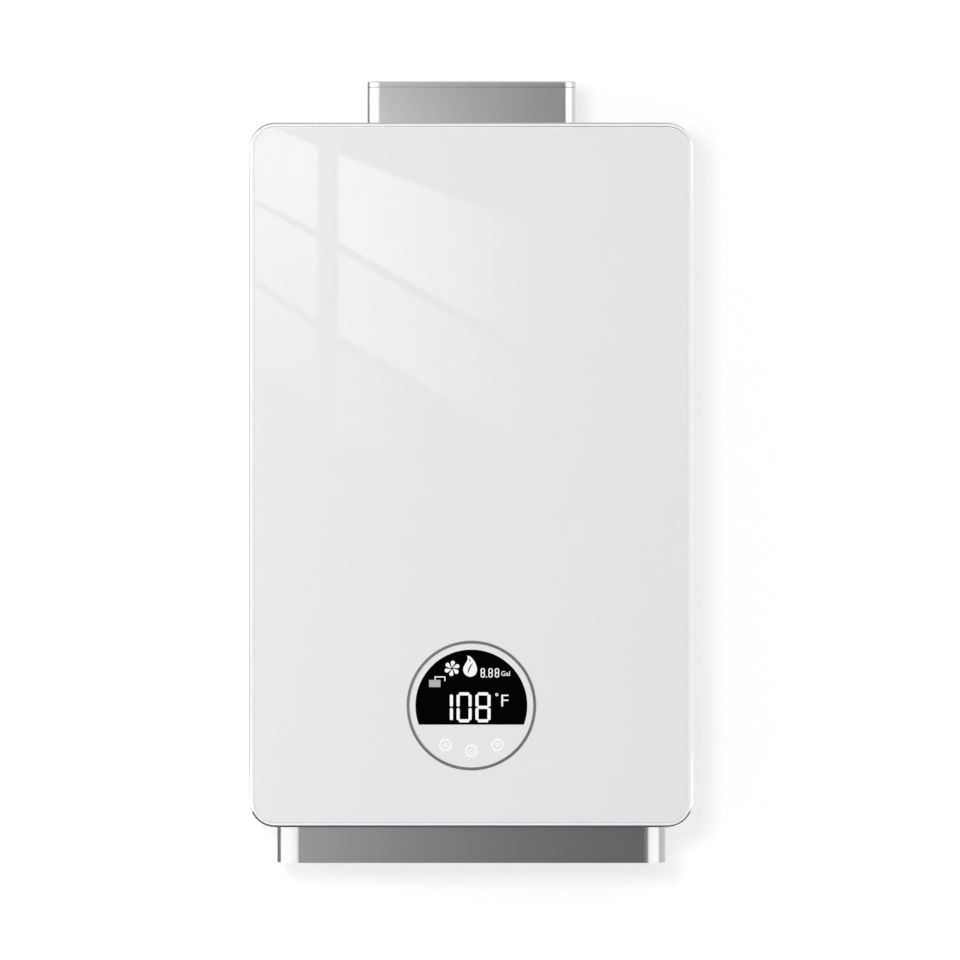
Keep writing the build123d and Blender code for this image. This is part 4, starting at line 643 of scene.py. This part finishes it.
trial = segment(10, 3)
print("trial segment", [round(v * 1000, 2) for v in trial.dimensions], "mm")
bpy.data.objects.remove(trial)

# %% [markdown]
# ## A figure
#
# The segments keep their usual letters: a on top, then clockwise to f, and g in
# the middle. A table says which letters each figure lights. The same function
# draws the large temperature and the small flow counter.

# %% Draw a figure
LIT = {"0": "abcdef", "1": "ef", "8": "abcdefg"}


def figure(sign, x, level, wide, tall, stroke, gap):
    """One seven-segment figure, centred at a place on the drawing, in millimetres."""
    half, arm = (wide - stroke) / 2, (tall - stroke) / 4
    places = {
        "a": (0, 2 * arm, True), "g": (0, 0, True), "d": (0, -2 * arm, True),
        "b": (half, arm, False), "c": (half, -arm, False),
        "e": (-half, -arm, False), "f": (-half, arm, False),
    }
    across, upright = segment(2 * half - gap, stroke), segment(2 * arm - gap, stroke)
    bars = []
    for letter in LIT[sign]:
        right, up, lying = places[letter]
        bar = copy_of(across if lying else upright)
        bar.rotation_euler = (0, 0, radians(90) if lying else 0)
        bar.location = ((x + right) * MM, (level + up) * MM, 0)
        bars.append(bar)
    for pattern in (across, upright):
        bpy.data.objects.remove(pattern)
    return join(bars) if len(bars) > 1 else bars[0]


large = [
    figure("1", -11.95, -1.4, 10.0, 23.7, 2.5, 0.7),
    figure("0", -5.7, -1.4, 11.9, 23.7, 2.5, 0.7),
    figure("8", 9.15, -1.4, 12.0, 23.7, 2.5, 0.7),
]
figures = settle(join(large))
put_on(figures, "display_temperature")

# %% [markdown]
# ## The flow counter and its point
#
# Three small figures and a decimal point. The point is a disc whose edge is cut in
# a few corners, which at this size the eye takes for a round dot.

# %% Draw the counter
small = [figure("8", place, 25.75, 3.4, 7.3, 0.85, 0.15) for place in (9.0, 15.1, 20.2)]
bpy.ops.mesh.primitive_circle_add(vertices=10, radius=0.55 * MM, fill_type="NGON",
                                  location=(11.9 * MM, 22.5 * MM, 0))
small.append(bpy.context.object)
counter = settle(join(small))
put_on(counter, "display_counter")

# %% [markdown]
# ## Units
#
# The units are plain letters, so Blender's own font draws them. Text is turned into
# a mesh before it is stood up, because the exporter wants meshes and because its
# place can then be pressed in like any other.

# %% Write the units
def letters(words, size, x, level, weight, wide=1.0):
    """Plain letters as a flat drawing, their lower left corner at a place in millimetres."""
    take()
    bpy.ops.object.text_add(location=(x * MM, level * MM, 0))
    text = bpy.context.object
    text.data.body = words
    text.data.size = size * MM
    text.data.offset = weight * MM
    text.data.resolution_u = 4
    text.scale.x = wide
    bpy.ops.object.convert(target="MESH")
    return settle(bpy.context.object)


def tidy_mesh(piece):
    """Merges doubled corners, so that a raised drawing closes."""
    whole(piece)
    bpy.ops.mesh.remove_doubles(threshold=0.000001)
    bpy.ops.object.mode_set(mode="OBJECT")


units = [letters("F", 13.6, 22.3, -0.7, -0.06, 1.17), letters("Gal", 5.4, 23.2, 23.4, 0.03)]
bpy.ops.mesh.primitive_circle_add(vertices=20, radius=1.2 * MM, fill_type="NGON",
                                  location=(20.0 * MM, 8.6 * MM, 0))
degree = bpy.context.object
whole(degree)
bpy.ops.mesh.inset(thickness=0.7 * MM)
bpy.ops.mesh.delete(type="FACE")
bpy.ops.object.mode_set(mode="OBJECT")
unit_marks = settle(join([*units, degree]))
tidy_mesh(unit_marks)
put_on(unit_marks, "display_units")

# %% [markdown]
# ## The fan sign
#
# Six blades round a middle. One blade starts as a circle. Its inner half is drawn
# out to a narrow tail that leans to one side, so that the fan seems to turn. Copies
# are turned by a sixth each.

# %% Draw the fan
def fan_blade():
    """One drop-shaped blade of the fan sign, its tail near the origin."""
    take()
    bpy.ops.mesh.primitive_circle_add(vertices=24, radius=1.65 * MM, fill_type="NGON",
                                      location=(0.60 * MM, 4.4 * MM, 0))
    blade = settle(bpy.context.object)
    pick(blade, lambda co: co.y < 3.7 * MM)
    bpy.ops.transform.resize(value=(0.32, 1, 1), center_override=(0.1 * MM, 3.0 * MM, 0))
    bpy.ops.transform.translate(value=(-0.30 * MM, -1.9 * MM, 0))
    bpy.ops.object.mode_set(mode="OBJECT")
    return blade


first = fan_blade()
blades = [first]
for turn in range(1, 6):
    blade = copy_of(first)
    blade.rotation_euler = (0, 0, turn * pi / 3)
    blades.append(blade)
fan_sign = join([settle(blade) for blade in blades])
fan_sign.location = (-15.2 * MM, 29.3 * MM, 0)
settle(fan_sign)
put_on(fan_sign, "display_fan_sign")

# %% [markdown]
# ## The flame sign
#
# A flame is a drop with its tip leaning over, and two slits that hint at tongues.
# All are closed curves through a few points. Joined into one flat curve, the inner
# ones cut holes in the outer, which is quicker and cleaner than cutting a mesh.

# %% Draw the flame
def closed_curve(points):
    """A closed curve through points in millimetres, pointed where a point says sharp."""
    take()
    bpy.ops.curve.primitive_bezier_circle_add(radius=MM)
    curve = bpy.context.object
    curve.data.dimensions = "2D"
    curve.data.fill_mode = "BOTH"
    curve.data.resolution_u = 5
    if len(points) > 4:
        bpy.ops.object.mode_set(mode="EDIT")
        bpy.ops.curve.select_all(action="SELECT")
        bpy.ops.curve.subdivide(number_cuts=len(points) // 4 - 1)
        bpy.ops.object.mode_set(mode="OBJECT")
    for knot, (x, y, *sharp) in zip(curve.data.splines[0].bezier_points, points):
        knot.handle_left_type = knot.handle_right_type = "VECTOR" if sharp else "AUTO"
        knot.co = (x * MM, y * MM, 0)
    return curve


drop = closed_curve([
    (-3.4, 39.2, "sharp"), (-1.2, 38.8), (0.4, 37.4), (2.3, 34.9), (3.6, 32.4), (4.35, 29.4),
    (4.3, 26.9), (3.1, 24.4), (0.7, 22.9), (-2.2, 22.9), (-4.7, 24.4), (-6.2, 26.7),
    (-6.4, 29.1), (-5.3, 32.0), (-3.6, 34.9), (-2.8, 37.3)])
slit = closed_curve([
    (1.6, 33.8, "sharp"), (0.2, 31.6), (-0.95, 29.4), (-1.85, 27.2), (-2.65, 25.0, "sharp"),
    (-2.7, 27.6), (-1.85, 30.0), (-0.5, 32.0)])
nick = closed_curve([(-1.15, 37.0), (-0.8, 35.7), (-1.1, 34.4), (-1.5, 35.7)])
flame = join([drop, slit, nick])
bpy.ops.object.convert(target="MESH")
flame = settle(bpy.context.object)
tidy_mesh(flame)
put_on(flame, "display_flame_sign")

# %% [markdown]
# ## The tap sign
#
# A bent pipe over a basin. The pipe is one small square that is pulled along the
# way it runs: up, across and down. The basin is a plate with a few slots, in a
# greyer tone, because fewer of its dots are lit.

# %% Draw the tap and basin
def pull(piece, test, shift):
    """Extrudes what the test picks by a shift in millimetres."""
    pick(piece, test)
    bpy.ops.mesh.extrude_region_move(
        TRANSFORM_OT_translate={"value": (shift[0] * MM, shift[1] * MM, 0)})
    bpy.ops.object.mode_set(mode="OBJECT")


LINE = 0.85
take()
bpy.ops.mesh.primitive_plane_add(size=LINE * MM, location=(-28.6 * MM, 20.3 * MM, 0))
spout = settle(bpy.context.object)
top = 20.3 + LINE / 2
pull(spout, lambda co: co.y > (top - 0.01) * MM, (0, 1.4))
pull(spout, lambda co: co.y > (top + 1.39) * MM, (0, LINE))
right = -28.6 + LINE / 2
pull(spout, lambda co: co.x > (right - 0.01) * MM and co.y > (top + 1.39) * MM, (6.9, 0))
pull(spout, lambda co: co.x > (right + 6.89) * MM, (LINE, 0))
pull(spout, lambda co: co.x > (right + 6.89) * MM and co.y < (top + 1.41) * MM, (0, -3.0))
put_on(spout, "display_tap_sign")

bpy.ops.mesh.primitive_grid_add(x_subdivisions=1, y_subdivisions=5, size=1 * MM,
                                location=(-28.8 * MM, 17.35 * MM, 0))
basin = bpy.context.object
basin.scale = (9.0, 5.6, 1)
settle(basin)
whole(basin)
bpy.ops.mesh.inset(thickness=0.08 * MM, use_individual=True)
bpy.ops.object.mode_set(mode="OBJECT")
put_on(basin, "display_basin_sign", "lit_grey")

# %% [markdown]
# ## The touch keys
#
# The keys are only printed rings: a finger is felt through the plate. A ring is a
# circle of edges that is extruded onto itself and widened. Inside stand a triangle
# up, a triangle down, and the broken ring with a bar that means power.

# %% Draw the keys
def ring_mark(x, level, radius, width, corners=40):
    """A flat printed ring, in millimetres."""
    take()
    bpy.ops.mesh.primitive_circle_add(vertices=corners, radius=radius * MM, fill_type="NOTHING")
    ring = bpy.context.object
    whole(ring)
    share = (radius + width) / radius
    bpy.ops.mesh.extrude_region_move()
    bpy.ops.transform.resize(value=(share, share, 1))
    bpy.ops.object.mode_set(mode="OBJECT")
    ring.location = (x * MM, level * MM, 0)
    return settle(ring)


def triangle_mark(x, level, turn):
    """A small hollow triangle that points up, or down with a half turn."""
    take()
    bpy.ops.mesh.primitive_circle_add(vertices=3, radius=2.2 * MM, fill_type="NGON")
    mark = bpy.context.object
    whole(mark)
    bpy.ops.mesh.inset(thickness=0.55 * MM)
    bpy.ops.mesh.delete(type="FACE")
    bpy.ops.object.mode_set(mode="OBJECT")
    mark.rotation_euler = (0, 0, turn)
    mark.location = (x * MM, level * MM, 0)
    return settle(mark)


def power_mark(x, level):
    """The broken ring with a bar in its gap."""
    ring = ring_mark(0, 0, 1.5, 0.5, 24)
    pick(ring, lambda co: co.y > 1.1 * MM and abs(co.x) < 0.95 * MM)
    bpy.ops.mesh.delete(type="VERT")
    bpy.ops.object.mode_set(mode="OBJECT")
    bar = segment(2.2, 0.5)
    bar.location = (0, 1.4 * MM, 0)
    mark = join([ring, settle(bar)])
    mark.location = (x * MM, level * MM, 0)
    return settle(mark)


keys = []
for x, drop_down in ((-20.5, 31.0), (20.5, 31.0), (0.0, 35.7)):
    keys.append(ring_mark(x, -drop_down, 3.85, 1.0))
keys += [triangle_mark(-20.5, -31.2, 0), triangle_mark(20.5, -30.8, pi), power_mark(0, -35.8)]
key_marks = join(keys)
put_on(key_marks, "key_marks", "key_print")

# %% [markdown]
# ## The bead round the glass
#
# The glass sits in its rim with a hair of play, and a bead of sealant fills it and stands a little
# proud of the glass. The bead is paler than the glass: its white is a painted highlight along the
# glass's edge. A plane with its corners rounded has the shape of the opening. Inset by the bead's
# width and emptied, it leaves only the narrow frame, which is then raised.

# %% Lay the bead
OPENING = (343.96, 548.96)
OPENING_R = 17.48
BEAD_W = 0.8
BEAD_T = 0.8
BEAD_PROUD = 0.3
take()
bpy.ops.mesh.primitive_plane_add(size=1 * MM)
bead = bpy.context.object
bead.scale = (*OPENING, 1)
settle(bead)
whole(bead)
bpy.ops.mesh.bevel(offset=OPENING_R * MM, segments=12, affect="VERTICES")
bpy.ops.mesh.select_all(action="SELECT")
bpy.ops.mesh.inset(thickness=BEAD_W * MM)
bpy.ops.mesh.delete(type="FACE")
bpy.ops.object.mode_set(mode="OBJECT")
thicken(bead, BEAD_T)
stand_up(bead, 0, PANEL_MIDDLE, GLASS_FRONT + BEAD_PROUD - BEAD_T)
hand_in(bead, "glass_bead", "bead_painted_highlight")

# %% [markdown]
# ## Pipe threads
#
# The three fittings carry a half-inch pipe thread, fourteen turns to the inch. A
# thread is one small profile carried round and up at once, and that is what the
# Screw modifier does. One thread is made, applied, and copied onto each fitting.

# %% Cut a thread and copy it
THREAD_PITCH = 25.4 / 14
THREAD_TURNS = 12
THREAD_START = 16.4
THREAD_RIDGE = 0.62


def coil(corners, thick, radius, pitch, turns, steps):
    """A small profile carried round and up the Z axis, closed at both ends, in millimetres."""
    take()
    bpy.ops.mesh.primitive_circle_add(vertices=corners, radius=thick * MM, fill_type="NOTHING",
                                      location=(radius * MM, 0, 0))
    wire = bpy.context.object
    wire.rotation_euler = (radians(90), 0, 0)
    settle(wire)
    turning = wire.modifiers.new("turning", "SCREW")
    turning.axis = "Z"
    turning.angle = 2 * pi
    turning.screw_offset = pitch * MM
    turning.iterations = turns
    turning.steps = turning.render_steps = steps
    take(wire)
    bpy.ops.object.modifier_apply(modifier="turning")
    whole(wire)
    bpy.ops.mesh.fill_holes(sides=corners)
    bpy.ops.mesh.select_all(action="SELECT")
    bpy.ops.mesh.normals_make_consistent(inside=False)
    bpy.ops.object.mode_set(mode="OBJECT")
    return wire


master = coil(4, THREAD_RIDGE, THREAD_R, THREAD_PITCH, THREAD_TURNS, 40)
for name, x in (("hot_thread", -FITTING_X), ("gas_thread", 0.0), ("cold_thread", FITTING_X)):
    piece = copy_of(master)
    piece.location = (x * MM, -MIDDLE_DEPTH * MM, height(THREAD_START))
    settle(piece)
    hand_in(piece, name, "brass")
bpy.data.objects.remove(master)

# %% [markdown]
# ## The return springs
#
# In the gas valve a spring sits over each plunger and gets shorter when the plunger lifts. A solid
# model's spring can't do that, so a coil of the same size takes its place, with a mesh of its own.

# %% Wind the springs
SPRING_FOOT = 122.5
SPRING_HEAD = 135.2
SPRING_R = 3.6
SPRING_TURNS = 6
SPRING_WIRE = 0.345
SPRING_PLAY = 0.005
spring_pitch = (SPRING_HEAD - SPRING_FOOT - 2 * SPRING_WIRE - 2 * SPRING_PLAY) / SPRING_TURNS
master = coil(8, SPRING_WIRE, SPRING_R, spring_pitch, SPRING_TURNS, 28)
for use, x in (("shutoff", -15.0), ("modulating", 15.0)):
    piece = copy_of(master)
    piece.location = (x * MM, -MIDDLE_DEPTH * MM, height(SPRING_FOOT + SPRING_WIRE + SPRING_PLAY))
    settle(piece)
    hand_in(piece, use + "_return_spring", "spring_steel")
    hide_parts(use + "_spring")
    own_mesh(piece)
bpy.data.objects.remove(master)

# %% [markdown]
# ## The wall and the floor
#
# The heater hangs on a white wall. Only the camera and mirror-like surfaces see the
# wall: light passes it, so the back of the heater isn't left in the dark. From
# behind it is clear, so that the back can be looked at. The floor is clear from
# beneath in the same way, but light doesn't pass it: it throws light back up.

# %% Build the wall and floor
def empty_look(name):
    """A material with nothing but its output: the material, its nodes and the output."""
    look = bpy.data.materials.new(name)
    look.use_nodes = True
    look.node_tree.nodes.remove(look.node_tree.nodes["Principled BSDF"])
    return look, look.node_tree, look.node_tree.nodes["Material Output"]


def seen_on(tree):
    """One for rays from the eye, off gloss or through glass, and nought for light."""
    rays = node(tree, "LightPath").outputs
    seen = sum_of(tree, "MAXIMUM", rays["Is Camera Ray"], rays["Is Glossy Ray"])
    return sum_of(tree, "MAXIMUM", seen, rays["Is Transmission Ray"])


def backdrop_look(name, grey, lift, only_seen):
    """A pale surface that is clear from behind, with a lift towards white for the eye."""
    look, tree, out = empty_look(name)
    seen = seen_on(tree)
    paint = node(tree, "BsdfDiffuse", {"Color": (grey, grey, grey, 1.0)})
    glow = node(tree, "Emission", {"Strength": sum_of(tree, "MULTIPLY", seen, lift)})
    both = node(tree, "AddShader", {0: paint.outputs[0], 1: glow.outputs[0]})
    front = sum_of(tree, "SUBTRACT", 1.0, node(tree, "NewGeometry").outputs["Backfacing"])
    share = sum_of(tree, "MULTIPLY", front, seen if only_seen else 1.0)
    clear = node(tree, "BsdfTransparent")
    mixed = node(tree, "MixShader", {0: share, 1: clear.outputs[0], 2: both.outputs[0]})
    feed(out, {"Surface": mixed.outputs[0]})
    return look


def big_plane(name, location, turn, look):
    """A plane of 16 metres that belongs to the studio and not to the heater."""
    take()
    bpy.ops.mesh.primitive_plane_add(size=16, location=location, rotation=turn)
    plane = bpy.context.object
    plane.name = name
    plane.data.materials.append(look)


FLOOR_Z = -1.30
big_plane("studio_wall", (0, 0.004, 0), (radians(90), 0, 0),
          backdrop_look("wall_paint", 0.40, 0.68, True))
big_plane("studio_floor", (0, 0, FLOOR_Z), (0, 0, 0),
          backdrop_look("floor_paint", 0.58, 0.56, False))
print("floor", round((height(0) - FLOOR_Z) * 1000), "mm below the heater")

# %% [markdown]
# ## The room's light
#
# The world gives a plain, even light from all round. The eye and every mirror-like
# surface see it white, so that metal and glass show the same white room.

# %% Set the world
ROOM_LIGHT, ROOM_SEEN = 0.48, 1.0
world = bpy.data.worlds.new("studio_room")
bpy.context.scene.world = world
world.use_nodes = True
air = world.node_tree
feed(air.nodes["Background"], {
    "Strength": ranged(air, seen_on(air), {"To Min": ROOM_LIGHT, "To Max": ROOM_SEEN}),
    "Color": (1.0, 1.0, 1.0, 1.0)})
print("room strength", ROOM_LIGHT, "for light,", ROOM_SEEN, "for the eye")

# %% [markdown]
# ## The lamps
#
# One soft lamp stands close to the camera's line, a little to the left and above.
# It draws the thin shadow along the right side and below. It isn't seen in the
# glass. A weaker lamp from the left gives the round edges their shape, and one
# from behind lights the back plate.

# %% Place the lamps
MIDDLE = (0.0, -0.07, -0.27)


def lamp(name, location, size, power):
    """A square soft lamp that faces the heater's middle and isn't seen in gloss."""
    data = bpy.data.lights.new(name, "AREA")
    data.shape = "SQUARE"
    data.size = size
    data.energy = power
    light = bpy.data.objects.new(name, data)
    bpy.context.scene.collection.objects.link(light)
    light.location = location
    aim = bpy.data.objects.new(name + "_aim", None)
    bpy.context.scene.collection.objects.link(aim)
    aim.location = MIDDLE
    turn = light.constraints.new("TRACK_TO")
    turn.target = aim
    turn.track_axis, turn.up_axis = "TRACK_NEGATIVE_Z", "UP_Y"
    light.visible_glossy = light.visible_camera = False


lamp("key_lamp", (-0.32, -4.0, 0.02), 0.45, 58.5)
lamp("left_lamp", (-2.4, -1.6, -0.3), 1.4, 22.0)
lamp("back_lamp", (1.2, 2.6, 0.9), 1.6, 30.0)

# %% [markdown]
# ## Reflector cards
#
# Metal shows what stands round it. In a studio, white and grey cards stand out of
# sight to draw bright bands along the round edges and to grade the flat faces. The
# cards here are seen only by gloss: they throw no light and no shadow. The side
# cards are brightest only at the heights of hood and skirt, so that the flat sides
# stay silver when the heater is looked at from elsewhere.

# %% Stand the cards
SINK_FROM, SINK_TO = -0.75, 0.05


def card_look(name, low, high, start, end, axis, foot=1.0, bend=1.0):
    """A glow graded from low to high along one axis, and weaker towards the card's foot."""
    look, tree, out = empty_look(name)
    parts = apart(tree)
    grade = ranged(tree, parts[axis], {"From Min": start, "From Max": end})
    level = ranged(tree, sum_of(tree, "POWER", grade, bend), {"To Min": low, "To Max": high})
    sink = ranged(tree, parts["Z"], {"From Min": SINK_FROM, "From Max": SINK_TO, "To Min": foot},
                  interpolation_type="SMOOTHSTEP")
    glow = node(tree, "Emission", {"Strength": sum_of(tree, "MULTIPLY", level, sink)})
    feed(out, {"Surface": glow.outputs[0]})
    return look


def card(name, corners, look):
    """A flat card between four corners, seen only in gloss."""
    take()
    bpy.ops.mesh.primitive_plane_add(size=1)
    board = bpy.context.object
    board.name = name
    for vertex, corner in zip(board.data.vertices, (corners[0], corners[1], corners[3], corners[2])):
        vertex.co = corner
    board.data.materials.append(look)
    board.visible_camera = board.visible_diffuse = board.visible_shadow = False
    board.visible_transmission = False


def upright_card(name, near, far, low_z, high_z, look):
    """An upright card between two points of the floor plan."""
    card(name, [(*near, low_z), (*far, low_z), (*far, high_z), (*near, high_z)], look)


upright_card("front_card", (-0.42, -1.75), (0.33, -1.75), -1.9, 1.5,
             card_look("front_card_look", 0.18, 1.16, 0.30, -0.30, "X", 0.80, 2.2))
upright_card("far_card", (-1.9, -1.95), (1.9, -1.95), -1.9, 1.5,
             card_look("far_card_look", 0.36, 0.40, -1.2, 1.2, "Z"))
bright_look = card_look("bright_card_look", 2.0, 2.1, -1.0, 0.4, "Z")
foot_look = card_look("foot_card_look", 1.0, 2.5, -0.84, -0.66, "Z")
even_look = card_look("even_card_look", 1.15, 1.25, -0.6, 0.1, "Z")
for side, near, far in (("left", (-0.40, -1.50), (-1.62, 0.0)),
                        ("left_back", (-1.62, 0.0), (-0.45, 0.0015)),
                        ("right", (0.68, -1.44), (1.62, -0.20))):
    upright_card(side + "_head_card", near, far, 0.03, 0.30, bright_look)
    upright_card(side + "_body_card", near, far, -0.55, 0.03, even_look)
    upright_card(side + "_foot_card", near, far, -0.82, -0.55, foot_look)
WALL_CARDS = (
    ("left_wall", (-0.45, -0.01), (-0.19, 0.001), (-1.2, 0.9), (0.30, 0.34, -1.2, 0.9, "Z")),
    ("right_wall", (0.19, 0.001), (0.75, -0.03), (-1.2, 0.9), (1.05, 1.10, -1.2, 0.9, "Z")),
    ("top_wall", (-0.45, 0.0015), (0.45, 0.0015), (0.07, 0.60), (0.55, 0.60, -0.4, 0.4, "X")),
    ("low_wall", (-0.45, 0.0015), (0.45, 0.0015), (-1.2, -0.60), (0.12, 0.14, -0.4, 0.4, "X")),
)
for name, near, far, tall, glow in WALL_CARDS:
    upright_card(name + "_card", near, far, *tall, card_look(name + "_look", *glow))
LYING_CARDS = (
    ("low_card", 1.4, (-2.4, -1.12), (0.0, -1.12), 0.12, 0.14),
    ("high_card", 1.2, (-0.80, 1.0), (-1.60, 0.35), 1.20, 1.30),
    ("roof_card", 1.2, (0.0, 1.1), (-0.78, 1.02), 0.42, 0.48),
)
for name, half, near, far, dim, bright in LYING_CARDS:
    card(name, [(-half, *near), (half, *near), (half, *far), (-half, *far)],
         card_look(name + "_look", dim, bright, -1.0, 1.0, "X"))

# %% [markdown]
# ## A window in the glass
#
# Glass is only believed when something stands in it. A window with glazing bars,
# drawn aslant as if seen from the side, is placed before the front so that it
# mirrors in the upper left. Its panes fade to the right and downwards.

# %% Hang the panes
CAMERA_AWAY = 6.0
PANE_AWAY = 1.2
VIEW_X, VIEW_Z = 0.0068, -0.2655
SPREAD = 1 + PANE_AWAY / CAMERA_AWAY


def pane(name, corners, look):
    """One pane, given by the corners at which it is to show on the glass, in millimetres."""
    there = [(VIEW_X + (x * MM - VIEW_X) * SPREAD, -GLASS_FRONT * MM - PANE_AWAY,
              VIEW_Z + (height(level) - VIEW_Z) * SPREAD) for x, level in corners]
    card(name, there, look)


left_pane = card_look("left_pane_look", 1.2, 3.0, -0.16, 0.03, "Z")
right_pane = card_look("right_pane_look", 3.0, 0.0, -0.13, 0.10, "X")
middle_pane = card_look("middle_pane_look", 2.2, 0.0, -0.13, 0.11, "X")
low_pane = card_look("low_pane_look", 1.2, 0.0, -0.13, 0.0, "X")
PANES = (
    ("left_top", left_pane, [(-185, 530.3), (-120.8, 498.2), (-120.8, 564.3), (-185, 591.5)]),
    ("left_middle", left_pane, [(-185, 471.6), (-120.8, 426.9), (-120.8, 491.6), (-185, 526.6)]),
    ("left_low", left_pane, [(-185, 400.7), (-120.8, 361.8), (-120.8, 419.6), (-185, 465.3)]),
    ("right_top", right_pane, [(-104.8, 489.4), (69.8, 392.6), (69.8, 492.6), (-104.8, 558.7)]),
    ("right_middle", middle_pane, [(-104.8, 416.4), (69.8, 316.0), (69.8, 383.1), (-104.8, 482.1)]),
    ("right_low", low_pane, [(-104.8, 340.0), (-9.0, 300.0), (-9.0, 349.2), (-104.8, 408.5)]),
)
for name, look, corners in PANES:
    pane("pane_" + name, corners, look)

# %% [markdown]
# ## The camera
#
# A product is shown straight on with a long lens from far away, so that its sides
# stay parallel and no side wall shows. The lens follows from the distance and from
# how wide a strip the square picture takes in at the glass.

# %% Set the camera
SENSOR = 36.0
PICTURE_WIDE = 0.7559
camera_data = bpy.data.cameras.new("long_lens")
camera = bpy.data.objects.new("long_lens", camera_data)
bpy.context.scene.collection.objects.link(camera)
camera_data.sensor_width = SENSOR
camera_data.lens = SENSOR * CAMERA_AWAY / PICTURE_WIDE
camera_data.clip_end = 100.0
camera.location = (VIEW_X, -GLASS_FRONT * MM - CAMERA_AWAY, VIEW_Z)
camera.rotation_euler = (radians(90), 0, 0)
bpy.context.scene.camera = camera
bpy.context.scene.view_settings.view_transform = "Standard"
print("lens", round(camera_data.lens, 1), "mm")
